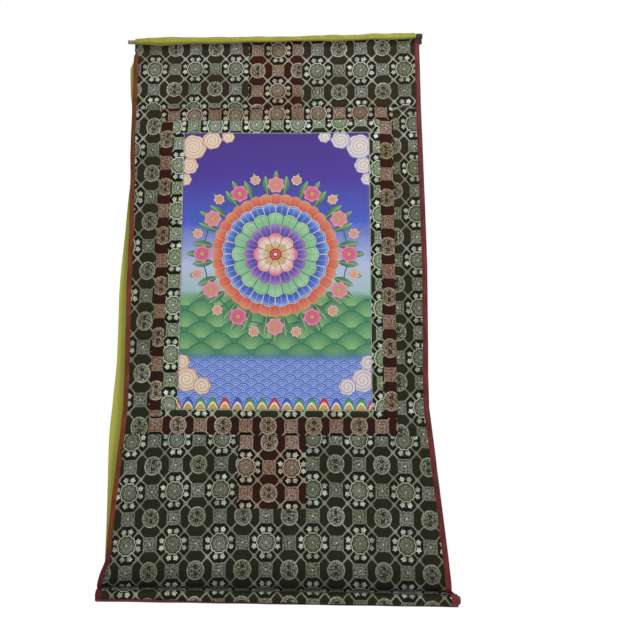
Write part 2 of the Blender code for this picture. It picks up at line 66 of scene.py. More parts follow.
# Least width and length of a sheet that the frame takes
LEAST_FLAT = 10 * MM
# Usual size of a mesh face of the brocade
STRIP_CELL = 4.2 * MM


# Sizes of the mount. Its roll, bindings and some seams differ a little from the packed solids.


@dataclass(frozen=True)
class Cut:
    """Thicknesses of the cloths, the gap at a seam, and how far a panel goes into a binding."""

    seam_gap: float = 0.3 * MM
    tucked_in: float = 0.7 * MM
    brocade: float = 1.2 * MM
    painting: float = 0.9 * MM
    binding: float = 1.6 * MM
    strip: float = 0.8 * MM
    veil: float = 0.7 * MM


@dataclass(frozen=True)
class Levels:
    """Lengths down the cloth at which seams and folds run across."""

    top_seam: float = 121 * MM
    inner_top: float = 143 * MM
    painting_top: float = 165 * MM
    painting_bottom: float = 615 * MM
    red_bottom: float = 625 * MM
    bottom_seam: float = 652 * MM
    door_end: float = 758 * MM
    tuck: float = 857 * MM
    binding_left: float = 24 * MM


@dataclass(frozen=True)
class Doors:
    """Side lines of the red panels above and below the painting."""

    top_left: float = -46.5 * MM
    top_right: float = 40.6 * MM
    bottom_left: float = -51 * MM
    bottom_right: float = 49 * MM


@dataclass(frozen=True)
class Roll:
    """The tuck over the roller, the roller and its cloth sleeve."""

    bend_radius: float = 14 * MM
    bend: float = 42
    run: float = 4 * MM
    crease_radius: float = 2.2 * MM
    sleeve_radius: float = 7.3 * MM
    sleeve_end: float = 248
    roller_radius: float = 5.9 * MM
    roller_left: float = -251.3 * MM
    roller_right: float = 267.2 * MM


@dataclass(frozen=True)
class Rod:
    """The top rod and the sleeve of the top panels round it."""

    radius: float = 3.3 * MM
    left: float = -250.5 * MM
    right: float = 239 * MM
    tilt: float = 0.0081
    bow: float = 0.0548
    lift_end: float = 100 * MM
    sleeve_radius: float = 5.1 * MM
    bend_radius: float = 8 * MM
    bend: float = 25
    hem_tilt: float = 15
    hem: float = 9 * MM


CUT = Cut()
LEVELS = Levels()
DOORS = Doors()
ROLL = Roll()
ROD = Rod()
BINDING_WIDTH = {-1: 7.4 * MM, 1: 8.3 * MM}
BINDING_WIDTH_ON_ROLL = 10 * MM
BINDING_WIDTH_ON_ROD = 11 * MM


def smooth_step(value: Numbers | float, low: float, high: float) -> Numbers:
    """Rise from 0 at low to 1 at high: 3 t squared minus 2 t cubed, t the part of the way."""
    part = np.clip((np.asarray(value, float) - low) / (high - low), 0.0, 1.0)
    return part * part * (3 - 2 * part)


def rod_lift(x: Numbers) -> Numbers:
    """Height of the rod's middle at x: a slight tilt plus a bow with the square of x."""
    return ROD.tilt * x + ROD.bow * x * x


def rod_end_squeeze(x: Numbers) -> Numbers:
    """Share of their radius that the cloths keep where they lie flatter at the rod's left end."""
    return 1 - 0.26 * (1 - smooth_step(x, -240 * MM, -214 * MM))


@dataclass(frozen=True)
class Seam:
    """A seam that runs down the mount, as x at the top and at the bottom of the painting."""

    top: float
    bottom: float

    def at(self, s: Numbers) -> Numbers:
        """Read x at s, straight between the painting's ends."""
        span = LEVELS.painting_bottom - LEVELS.painting_top
        part = np.clip((s - LEVELS.painting_top) / span, 0.0, 1.0)
        return self.top + (self.bottom - self.top) * part


RED_LEFT = Seam(-188.5 * MM, -186 * MM)
INNER_LEFT = Seam(-168.5 * MM, -168.4 * MM)
PAINTING_LEFT = Seam(-150 * MM, -144 * MM)
PAINTING_RIGHT = Seam(150.2 * MM, 148 * MM)
INNER_RIGHT = Seam(166.8 * MM, 164.1 * MM)
RED_RIGHT = Seam(188.3 * MM, 184.8 * MM)

# Outer edges, in millimetres: s, left x, right x
MOUNT_EDGES = MM * np.array([
    (2, -238, 240), (16, -238.6, 234.9), (37, -239.6, 234.9), (60, -238.4, 234.8),
    (110, -237.6, 234.4), (165, -237.2, 234.8), (205, -236.4, 235.2), (250, -233.6, 235.4),
    (282, -233.2, 235.8), (335, -231.7, 236.1), (387, -231.1, 236.4), (413, -230.8, 235.8),
    (463, -229.8, 234.8), (515, -227.8, 233.6), (562, -226.4, 232.3), (608, -225.7, 232),
    (657, -227.8, 236.4), (705, -231.6, 240.8), (750, -235.1, 245.2), (795, -237.7, 249.6),
    (832, -238.6, 252.8), (841, -242, 253.6), (850, -245.6, 254.3), (869, -250.3, 255.5),
    (876, -250.3, 262), (884, -250.3, 263.4), (892, -250.3, 264), (900, -250.3, 264.5),
])
VEIL_EDGES = MM * np.array([
    (0, -237.5, 228), (30, -240, 228), (45, -245.8, 228), (60, -245.4, 228), (89, -243.8, 228),
    (110, -241, 228), (163, -239, 228), (220, -237.5, 228), (248, -237, 228), (275, -238.5, 228),
    (303, -239.8, 227.7), (330, -240.7, 227.4), (383, -242.9, 226.6), (410, -244, 226.2),
    (436, -244.4, 225.8), (487, -243.1, 225.3), (538, -241.8, 224.8), (562, -242.8, 224.6),
    (587, -244.3, 224.4), (612, -245.4, 224.1), (636, -246.9, 223.8), (660, -247, 223.6),
    (707, -245.7, 223.2), (754, -244.5, 222.8), (799, -243.2, 222.4), (845, -242.3, 222),
])

# Soft folds of the hanging mount: x, s, length, width (mm), tilt (degrees), depth to the front (mm)
MOUNT_FOLDS = (
    (-205, 400, 240, 38, 1, -4.5), (-120, 330, 260, 60, 3, 2.2), (40, 420, 300, 75, -4, -1.8),
    (215, 480, 210, 34, -2, -3.5), (130, 210, 200, 55, 5, 1.8), (-165, 745, 110, 26, 34, 3.4),
    (180, 750, 115, 28, -36, 3.6), (-60, 775, 60, 42, 82, 2.4), (95, 700, 85, 30, 74, -2.2),
    (0, 830, 230, 22, 90, 2.0),
)
# Where on s each kind of relief begins, is full, begins to go and is gone
FOLDS_SPAN = (24 * MM, 110 * MM, 790 * MM, LEVELS.tuck)
WAVES_SPAN = (30 * MM, 90 * MM, 800 * MM, 850 * MM)
CREASES_SPAN = (16 * MM, 50 * MM, 835 * MM, 856 * MM)
CRUMPLE_RISE = (822 * MM, 856 * MM)

# Small creases, listed one by one, in the same columns
CREASES = (
    (-212, 690, 46, 5, 38, 0.9), (-190, 726, 52, 6, 44, -0.8), (-150, 780, 44, 6, 58, 0.8),
    (-205, 800, 34, 5, 30, -0.7), (-110, 812, 60, 6, 80, 0.7), (-40, 805, 70, 7, 94, -0.6),
    (60, 800, 60, 6, 86, 0.7), (128, 792, 50, 6, 104, -0.8), (196, 772, 54, 6, -40, 0.9),
    (222, 720, 44, 5, -33, -0.8), (212, 668, 40, 5, -24, 0.7), (168, 815, 46, 5, -62, 0.8),
    (-178, 60, 40, 6, 62, 0.6), (-96, 42, 34, 5, 84, -0.6), (24, 38, 44, 6, 96, 0.6),
    (118, 52, 46, 6, 78, -0.6), (196, 74, 42, 6, 48, 0.7), (-214, 150, 60, 5, 6, -0.6),
    (-206, 300, 70, 5, -5, 0.6), (-210, 520, 76, 5, 4, 0.7), (207, 260, 66, 5, 4, -0.6),
    (206, 420, 72, 5, -4, 0.7), (202, 560, 62, 5, 5, -0.6), (-178, 470, 60, 5, 2, 0.5),
    (176, 330, 62, 5, -3, 0.5), (-8, 690, 40, 5, 20, 0.5), (30, 735, 36, 5, -28, -0.5),
    (-96, 668, 44, 5, 84, 0.5), (120, 664, 46, 5, 95, -0.5), (-40, 108, 40, 5, 88, 0.4),
)


class SectionLine:
    """A section in y and z, walked as straight runs and arcs and read by its length."""

    def __init__(self, y: float, z: float, heading: float) -> None:
        """Start at a point, with a heading in degrees from +Y towards +Z."""
        self.ys = np.array([y])
        self.zs = np.array([z])
        self.lengths = np.array([0.0])
        self.heading = heading

    def _extend(self, headings: Numbers, chords: Numbers) -> None:
        """Add chords one after another, each with its own heading in radians."""
        self.ys = np.append(self.ys, self.ys[-1] + np.cumsum(chords * np.cos(headings)))
        self.zs = np.append(self.zs, self.zs[-1] + np.cumsum(chords * np.sin(headings)))
        self.lengths = np.append(self.lengths, self.lengths[-1] + np.cumsum(chords))

    def run(self, length: float, cells: int = 1) -> "SectionLine":
        """Go straight on, in a number of equal cells."""
        heading = np.full(cells, math.radians(self.heading))
        self._extend(heading, np.full(cells, length / cells))
        return self

    def turn(self, radius: float, angle: float, step: float) -> "SectionLine":
        """Turn by angle, positive anticlockwise, in chords of at most step degrees."""
        cells = max(1, math.ceil(abs(angle) / step))
        part = angle / cells
        chord = 2 * radius * math.sin(math.radians(abs(part)) / 2)
        headings = np.radians(self.heading + part * (np.arange(cells) + 0.5))
        self._extend(headings, np.full(cells, chord))
        self.heading += angle
        return self

    def at(self, length: Numbers) -> tuple[Numbers, Numbers]:
        """Read y and z at lengths along the line."""
        return np.interp(length, self.lengths, self.ys), np.interp(length, self.lengths, self.zs)


def grid_normals(points: Numbers) -> Numbers:
    """Unit normals of a grid: the cross product of its steps down and its steps across."""
    down = np.gradient(points, axis=0)
    across = np.gradient(points, axis=1)
    normals = np.cross(down, across)
    return normals / np.maximum(np.linalg.norm(normals, axis=2, keepdims=True), 1e-12)


def bell(x: Numbers, centre: float, width: float, height: Numbers | float) -> Numbers:
    """Soft bell: height times e to the minus square of distance over width, both in mm."""
    return height * np.exp(-(((x - centre * MM) / (width * MM)) ** 2))


def bells(table: tuple[tuple[float, float, float], ...], x: Numbers) -> Numbers:
    """Sum of soft bells along x, each with its centre, width and depth in mm."""
    total = np.zeros_like(x)
    for centre, width, depth in table:
        total += bell(x, centre, width, depth * MM)
    return total


def spanned(s: Numbers, span: tuple[float, float, float, float]) -> Numbers:
    """Rise from 0 to 1 over the first two marks of a span, and fall again over the last two."""
    return smooth_step(s, span[0], span[1]) * (1 - smooth_step(s, span[2], span[3]))


def turned(x: Numbers, s: Numbers, mark: tuple[float, ...]) -> tuple[Numbers, Numbers]:
    """Distances along and across a fold's line, over its length and its width.

    Args:
        x: x of the points.
        s: s of the points.
        mark: the fold's x, s, length, width, tilt and depth.

    Returns:
        Both distances as shares of the length and the width.
    """
    turn = math.radians(mark[4])
    from_x, from_s = x - mark[0] * MM, s - mark[1] * MM
    along = from_x * math.sin(turn) + from_s * math.cos(turn)
    across = from_x * math.cos(turn) - from_s * math.sin(turn)
    return along / (mark[2] * MM), across / (mark[3] * MM)


class HangingCloth:
    """The one surface that every piece of the mount lies on, from the rod to the roller."""

    tuck_step = 7.0
    rod_step = 12.0

    def __init__(self) -> None:
        """Work out the sections at the rod and at the roller, and the seams."""
        bend = math.radians(ROD.bend)
        reach = ROD.sleeve_radius * math.cos(bend) - ROD.bend_radius * (1 - math.cos(bend))
        slope = reach / math.sin(bend)
        arcs = (ROD.sleeve_radius + ROD.bend_radius) * math.sin(bend)
        self.sleeve_start = arcs + slope * math.cos(bend)
        self.over_rod = SectionLine(0.0, -self.sleeve_start, 90)
        self.over_rod.turn(ROD.bend_radius, ROD.bend, 6).run(slope, 4)
        self.over_rod.turn(ROD.sleeve_radius, -(ROD.bend + 180 + ROD.hem_tilt), self.rod_step)
        self.over_rod.run(ROD.hem, 3)
        self.tuck = SectionLine(0.0, -LEVELS.tuck, -90)
        self.tuck.turn(ROLL.bend_radius, ROLL.bend, 6).run(ROLL.run, 2)
        self.tuck.turn(ROLL.crease_radius, -(ROLL.bend + 90), 15)
        self.roller = (self.tuck.ys[-1], self.tuck.zs[-1] - ROLL.sleeve_radius)
        self.tuck.turn(ROLL.sleeve_radius, ROLL.sleeve_end + 90, self.tuck_step)
        self.seams = self._seam_lines()

    @staticmethod
    def _seam_lines() -> list[tuple[Numbers, Numbers]]:
        """List every seam as the x and s of its ends."""
        at = LEVELS
        top, end = np.array([at.top_seam]), np.array([at.bottom_seam])
        lines = []
        for seam, start, stop in ((RED_LEFT, at.top_seam, at.bottom_seam),
                                  (INNER_LEFT, at.inner_top, at.red_bottom),
                                  (PAINTING_LEFT, at.painting_top, at.painting_bottom),
                                  (PAINTING_RIGHT, at.painting_top, at.painting_bottom),
                                  (INNER_RIGHT, at.inner_top, at.red_bottom),
                                  (RED_RIGHT, at.top_seam, at.bottom_seam)):
            lines.append((float(seam.at(top)[0]), start, float(seam.at(end)[0]), stop))
        # Past both outer edges, and up over the rod
        wide, over_rod = 0.3, -0.05
        red = (RED_LEFT.bottom, RED_RIGHT.bottom)
        inner = (INNER_LEFT.bottom, INNER_RIGHT.bottom)
        lines += [(-wide, at.top_seam, wide, at.top_seam),
                  (red[0], at.inner_top, red[1], at.inner_top),
                  (inner[0], at.painting_top, inner[1], at.painting_top),
                  (inner[0], at.painting_bottom, inner[1], at.painting_bottom),
                  (red[0], at.red_bottom, red[1], at.red_bottom),
                  (-wide, at.bottom_seam, wide, at.bottom_seam),
                  (DOORS.top_left, over_rod, DOORS.top_left, at.top_seam),
                  (DOORS.top_right, over_rod, DOORS.top_right, at.top_seam),
                  (DOORS.bottom_left, at.bottom_seam, DOORS.bottom_left, at.door_end),
                  (DOORS.bottom_right, at.bottom_seam, DOORS.bottom_right, at.door_end),
                  (DOORS.bottom_left, at.door_end, DOORS.bottom_right, at.door_end)]
        return [(np.array(line[:2]), np.array(line[2:])) for line in lines]

    def lift(self, x: Numbers, s: Numbers) -> Numbers:
        """Height by which the cloth near the rod follows it, gone at the lift's end."""
        return rod_lift(x) * (1 - smooth_step(s, self.sleeve_start, ROD.lift_end))

    @staticmethod
    def folds(x: Numbers, s: Numbers) -> Numbers:
        """Depth of the soft folds: a bell along and across each one's line, faded at both ends."""
        total = np.zeros(np.broadcast(x, s).shape)
        for fold in MOUNT_FOLDS:
            along, across = turned(x, s, fold)
            total += fold[-1] * MM * np.exp(-along ** 2 - across ** 2)
        return spanned(s, FOLDS_SPAN) * total

    @staticmethod
    def creases(x: Numbers, s: Numbers) -> Numbers:
        """Height of the small creases: sharp across, one over one plus the square, soft along."""
        total = np.zeros(np.broadcast(x, s).shape)
        for crease in CREASES:
            along, across = turned(x, s, crease)
            ridge = 1 / (1 + across ** 2)
            total += crease[-1] * MM * ridge * np.exp(-along ** 2)
        return total

    @staticmethod
    def waves(x: Numbers, s: Numbers) -> Numbers:
        """Slight waves across the cloth from lying rolled up: two sines down s, bent along x."""
        first = np.sin(s / (7.6 * MM) + 1.4 * np.sin(x / (83 * MM)) + 0.6 * np.sin(x / (31 * MM)))
        second = np.sin(s / (13.1 * MM) - 1.1 * np.sin(x / (57 * MM) + 0.7))
        return spanned(s, WAVES_SPAN) * MM * (0.16 * first + 0.24 * second)

    def seam_relief(self, x: Numbers, s: Numbers) -> Numbers:
        """Dip at each seam with a low swell beside it and small puckers that fade away from it."""
        total = np.zeros(np.broadcast(x, s).shape)
        for start, end in self.seams:
            line = end - start
            length = float(np.hypot(*line))
            part = ((x - start[0]) * line[0] + (s - start[1]) * line[1]) / length
            part = np.clip(part, 0.0, length)
            gap = np.hypot(x - start[0] - line[0] * part / length,
                           s - start[1] - line[1] * part / length)
            dip = bell(gap, 0, 1.7, -0.85)
            swell = bell(gap, 4.5, 2.6, 0.32)
            beat = np.sin(part / (1.9 * MM)) + 0.7 * np.sin(part / (3.1 * MM) + 4 * start[0] / MM)
            pucker = bell(gap, 3, 4.5, 0.11 * beat)
            total += MM * (dip + swell + pucker)
        return total

    @staticmethod
    def crumple(x: Numbers, s: Numbers) -> Numbers:
        """Uneven cloth at the tuck and on the roller: crossed sines of x and s."""
        on_roll = smooth_step(s, *CRUMPLE_RISE)
        drag = np.sin(x / (15 * MM) + 2.1 * np.sin(s / (10 * MM)) + 1.3 * np.sin(x / (47 * MM)))
        fine = np.sin(x / (5.7 * MM) - s / (8 * MM) + 1.2 * np.sin(x / (29 * MM)))
        return on_roll * MM * (0.30 * drag + 0.12 * fine)

    def base(self, x: Numbers, s: Numbers) -> Numbers:
        """Place points on the section at the rod, the folded hanging plane or the tuck."""
        x, s = np.broadcast_arrays(x, s)
        lift = self.lift(x, s)
        y, z = -self.folds(x, s), lift - s
        rod_y, rod_z = self.over_rod.at(self.sleeve_start - s)
        near_rod = 1 - smooth_step(s, 0.0, self.sleeve_start)
        squeeze = 1 - near_rod * (1 - rod_end_squeeze(x))
        tuck_y, tuck_z = self.tuck.at(s - LEVELS.tuck)
        above, below = s < self.sleeve_start, s > LEVELS.tuck
        y = np.where(above, rod_y * squeeze, np.where(below, tuck_y, y))
        z = np.where(above, rod_z * squeeze + lift, np.where(below, tuck_z, z))
        return np.stack([x, y, z], axis=-1)

    def relief(self, x: Numbers, s: Numbers) -> Numbers:
        """Height of all the fine forms above the base surface."""
        fine = self.seam_relief(x, s) + self.crumple(x, s) + self.waves(x, s)
        return fine + spanned(s, CREASES_SPAN) * self.creases(x, s)

    def place(self, x: Numbers, s: Numbers, share: float = 1.0) -> Numbers:
        """Place a grid of points, with a share of the fine relief along the surface normals."""
        points = self.base(x, s)
        return points + grid_normals(points) * (share * self.relief(x, s))[..., None]

    def along_edge(self, x: Numbers, s: Numbers) -> tuple[Numbers, Numbers, Numbers]:
        """Read points, directions down the cloth and normals along a line on the surface.

        Args:
            x: x of each point of the line.
            s: s of each point of the line.

        Returns:
            Points, unit directions along the line and unit normals to the front.
        """
        step = 0.4 * MM
        columns = x[:, None] + step * np.array([[-1.0, 0.0, 1.0]])
        points = self.place(columns, np.repeat(s[:, None], 3, axis=1))
        normals = grid_normals(points)[:, 1]
        along = np.gradient(points[:, 1], axis=0)
        along /= np.maximum(np.linalg.norm(along, axis=1, keepdims=True), 1e-12)
        return points[:, 1], along, normals


CLOTH = HangingCloth()


def edge_at(table: Numbers, s: Numbers, side: int) -> Numbers:
    """Read x of one outer edge at s: side is -1 for the left and 1 for the right."""
    return np.interp(s, table[:, 0], table[:, 1 if side < 0 else 2])


def sewn(seam: Seam, side: int) -> Line:
    """Side line along a seam, half a gap short of it: side 1 for a left edge, -1 for a right."""
    return lambda s: seam.at(s) + side * CUT.seam_gap / 2


def straight(x: float, side: int) -> Line:
    """Upright side line, half a gap short of a straight seam."""
    return lambda s: np.full_like(s, x + side * CUT.seam_gap / 2)


def grid_between(left: Numbers, right: Numbers, s: Numbers,
                 part: Numbers) -> tuple[Numbers, Numbers]:
    """Grids of x and s between two side lines: a row for each s, a column for each part."""
    x = left[:, None] + (right - left)[:, None] * part[None, :]
    return x, np.repeat(s[:, None], len(part), axis=1)


def binding_width(s: Numbers, side: int) -> Numbers:
    """Width of a side binding, which widens where it goes over the rod and round the roller."""
    on_rod = 1 - smooth_step(s, MOUNT_EDGES[0, 0], MOUNT_EDGES[1, 0])
    on_roll = smooth_step(s, LEVELS.tuck, MOUNT_EDGES[-1, 0])
    width = BINDING_WIDTH[side]
    return (width + (BINDING_WIDTH_ON_ROD - width) * on_rod
            + (BINDING_WIDTH_ON_ROLL - width) * on_roll)


def panel_edge(side: int) -> Line:
    """Outer side line of a panel: inside the binding, and at the mount's edge above its start."""
    start = LEVELS.binding_left

    def line(s: Numbers) -> Numbers:
        covered = smooth_step(s, start - 7 * MM, start - 1 * MM) if side < 0 else 1.0
        inset = covered * (binding_width(s, side) - CUT.tucked_in)
        return edge_at(MOUNT_EDGES, s, side) - side * inset

    return line


def graded(start: float, end: float, cell: float,
           fine: tuple[bool, bool] = (True, True)) -> Numbers:
    """Stations from start to end that crowd near a seam at either end.

    Args:
        start: first station.
        end: last station.
        cell: usual distance of two stations.
        fine: whether the start and the end are at a seam.

    Returns:
        The stations, of which the ones within 7 mm of a seam lie 0.8 to 2.4 mm apart.
    """
    near = np.array([0.0, 0.8, 1.7, 2.9, 4.6, 7.0]) * MM
    if end - start < 2 * near[-1] + cell:
        count = max(6, math.ceil((end - start) / (1.2 * MM)))
        return np.linspace(start, end, count + 1)
    low = start + near[:-1] if fine[0] else np.array([])
    high = end - near[:-1][::-1] if fine[1] else np.array([])
    first = start + (near[-1] if fine[0] else 0.0)
    last = end - (near[-1] if fine[1] else 0.0)
    middle = np.linspace(first, last, max(1, math.ceil((last - first) / cell)) + 1)
    return np.concatenate([low, middle, high])


# Meshes


@dataclass
class ClothMesh:
    """A closed sheet of cloth made from one grid of points, with its maps and materials."""

    name: str
    points: Numbers
    pattern: Numbers
    thickness: float | Numbers
    face: bpy.types.Material
    back: bpy.types.Material
    kept: NDArray[np.bool_] | None = None
    rounding: float = 0.0

    def build(self) -> bpy.types.Object:
        """Make the object: front and back faces half a thickness off the grid, and the rims."""
        rows, columns = self.points.shape[:2]
        normals = grid_normals(self.points)
        half = self._half_thickness()[..., None]
        front = (self.points + normals * half).reshape(-1, 3)
        back = (self.points - normals * half).reshape(-1, 3)
        number = np.arange(rows * columns).reshape(rows, columns)
        quads = np.stack([number[:-1, :-1], number[1:, :-1], number[1:, 1:], number[:-1, 1:]],
                         axis=-1)
        kept = np.ones((rows - 1, columns - 1), bool) if self.kept is None else self.kept
        quads = quads[kept]
        rim = self._rim(quads, rows * columns)
        total = rows * columns
        faces = np.concatenate([quads, quads[:, ::-1] + total, rim])
        used, faces = np.unique(faces, return_inverse=True)
        faces = faces.reshape(-1, 4)
        vertices = np.concatenate([front, back])[used]
        mesh = mesh_from(self.name, vertices, faces)
        pattern = np.concatenate([self.pattern.reshape(-1, 2)] * 2)[used][faces.ravel()]
        for layer, places in (("cloth", pattern), ("OFBake", self._bake_map(quads, len(rim)))):
            flat = places.astype(np.float32).ravel()
            mesh.uv_layers.new(name=layer).uv.foreach_set("vector", flat)
        mesh.materials.append(self.face)
        mesh.materials.append(self.back)
        side = np.repeat([0, 1, 0], [len(quads), len(quads), len(rim)])
        mesh.polygons.foreach_set("material_index", side.astype(np.int32))
        mesh.set_sharp_from_angle(angle=math.radians(62))
        return link(mesh)

    def _half_thickness(self) -> Numbers:
        """Half the thickness at each point, thinned to a round over the last cells of the grid."""
        rows, columns = self.points.shape[:2]
        half = np.broadcast_to(np.asarray(self.thickness, float) / 2, (rows, columns)).copy()
        if self.rounding:
            step = np.linalg.norm(np.diff(self.points, axis=1), axis=2).mean(axis=0)
            run = np.concatenate([[0.0], np.cumsum(step)])
            near = np.minimum(run, run[-1] - run) / self.rounding
            half *= np.sqrt(1 - (1 - np.clip(near, 0.12, 1.0)) ** 2)[None, :]
        return half

    @staticmethod
    def _rim(quads: NDArray[np.int64], total: int) -> NDArray[np.int64]:
        """Faces that close the sheet along every edge that only one front face has."""
        starts = quads.ravel()
        ends = np.roll(quads, -1, axis=1).ravel()
        open_edge = ~np.isin(starts * total + ends, ends * total + starts)
        a, b = starts[open_edge], ends[open_edge]
        return np.stack([b, a, a + total, b + total], axis=1)

    def _bake_map(self, quads: NDArray[np.int64], rims: int) -> Numbers:
        """Map for baking: the front over most of a square, the back and the rims under it."""
        down = np.linalg.norm(np.diff(self.points, axis=0), axis=2).mean(axis=1)
        across = np.linalg.norm(np.diff(self.points, axis=1), axis=2).mean(axis=0)
        v = 1 - np.concatenate([[0.0], np.cumsum(down)]) / down.sum()
        u = np.concatenate([[0.0], np.cumsum(across)]) / across.sum()
        u, v = np.meshgrid(0.004 + 0.992 * u, v)
        front = np.stack([u, 0.296 + 0.70 * v], axis=-1).reshape(-1, 2)[quads.ravel()]
        back = np.stack([u, 0.03 + 0.25 * v], axis=-1).reshape(-1, 2)[quads[:, ::-1].ravel()]
        left = np.arange(rims) / rims
        low, high = np.full(rims, 0.004), np.full(rims, 0.018)
        corners = [(left + 1 / rims, high), (left, high), (left, low), (left + 1 / rims, low)]
        rim = np.stack([np.stack(corner, axis=-1) for corner in corners], axis=1).reshape(-1, 2)
        return np.concatenate([front, back, rim])


def mesh_from(name: str, vertices: Numbers, faces: NDArray[np.int64]) -> bpy.types.Mesh:
    """Make a smooth mesh of four-sided faces from whole arrays."""
    mesh = bpy.data.meshes.new(name)
    mesh.vertices.add(len(vertices))
    mesh.vertices.foreach_set("co", vertices.astype(np.float32).ravel())
    mesh.loops.add(faces.size)
    mesh.loops.foreach_set("vertex_index", faces.astype(np.int32).ravel())
    mesh.polygons.add(len(faces))
    mesh.polygons.foreach_set("loop_start", np.arange(0, faces.size, 4, dtype=np.int32))
    mesh.update(calc_edges=True)
    mesh.shade_smooth()
    return mesh


def link(mesh: bpy.types.Mesh) -> bpy.types.Object:
    """Make an object of a mesh's name and put it into the scene."""
    piece = bpy.data.objects.new(mesh.name, mesh)
    bpy.context.scene.collection.objects.link(piece)
    return piece


# Shader maths


# Light on a surface that faces the front, against that of the white surroundings alone
LIGHT = 1.9


def dye(red: float, green: float, blue: float) -> Colour:
    """Turn a screen colour of 0 to 255 into the linear colour a shader takes under these lights."""
    parts = np.array([red, green, blue]) / 255
    linear = np.where(parts <= 0.04045, parts / 12.92, ((parts + 0.055) / 1.055) ** 2.4)
    linear = linear / LIGHT
    return (float(linear[0]), float(linear[1]), float(linear[2]), 1.0)


def wired(operation: str, meaning: str) -> Callable[..., "Wire"]:
    """Make a method that adds one Math node, with the wire itself first."""

    def method(wire: "Wire", *others: "Wire | float") -> "Wire":
        return wire.maths(operation, *others)

    method.__doc__ = meaning
    return method


class Wire:
    """A number output of a node: arithmetic on it adds Math nodes to the same material."""

    def __init__(self, bench: "Bench", socket: bpy.types.NodeSocket) -> None:
        """Wrap one output socket."""
        self.bench = bench
        self.socket = socket

    def maths(self, operation: str, *values: "Wire | float") -> "Wire":
        """Add one Math node with this wire first."""
        return self.bench.maths(operation, self, *values)

    __add__ = __radd__ = wired("ADD", "Sum.")
    __sub__ = wired("SUBTRACT", "Difference.")
    __mul__ = __rmul__ = wired("MULTIPLY", "Product.")
    __truediv__ = wired("DIVIDE", "Quotient.")
    __mod__ = wired("FLOORED_MODULO", "Remainder, never negative.")
    __abs__ = wired("ABSOLUTE", "Size without its sign.")
    __lt__ = wired("LESS_THAN", "1 where it is less.")
    __gt__ = wired("GREATER_THAN", "1 where it is greater.")
    floor = wired("FLOOR", "Whole number below.")
    sin = wired("SINE", "Sine of radians.")
    cos = wired("COSINE", "Cosine of radians.")
    least = wired("MINIMUM", "Smaller of two.")
    most = wired("MAXIMUM", "Larger of two.")

    def __rsub__(self, other: float) -> "Wire":
        """Difference from a number."""
        return self.bench.maths("SUBTRACT", other, self)

    def held(self) -> "Wire":
        """Held between 0 and 1."""
        node = self.bench.node("ShaderNodeClamp", {}, Value=self)
        return Wire(self.bench, node.outputs["Result"])

    def inside(self, soft: float = 0.5) -> "Wire":
        """Mask of a signed distance: 1 well inside, 0 outside, over a soft edge of that width."""
        return (0.5 - self / soft).held()


Value = Wire | float | Colour | bpy.types.NodeSocket


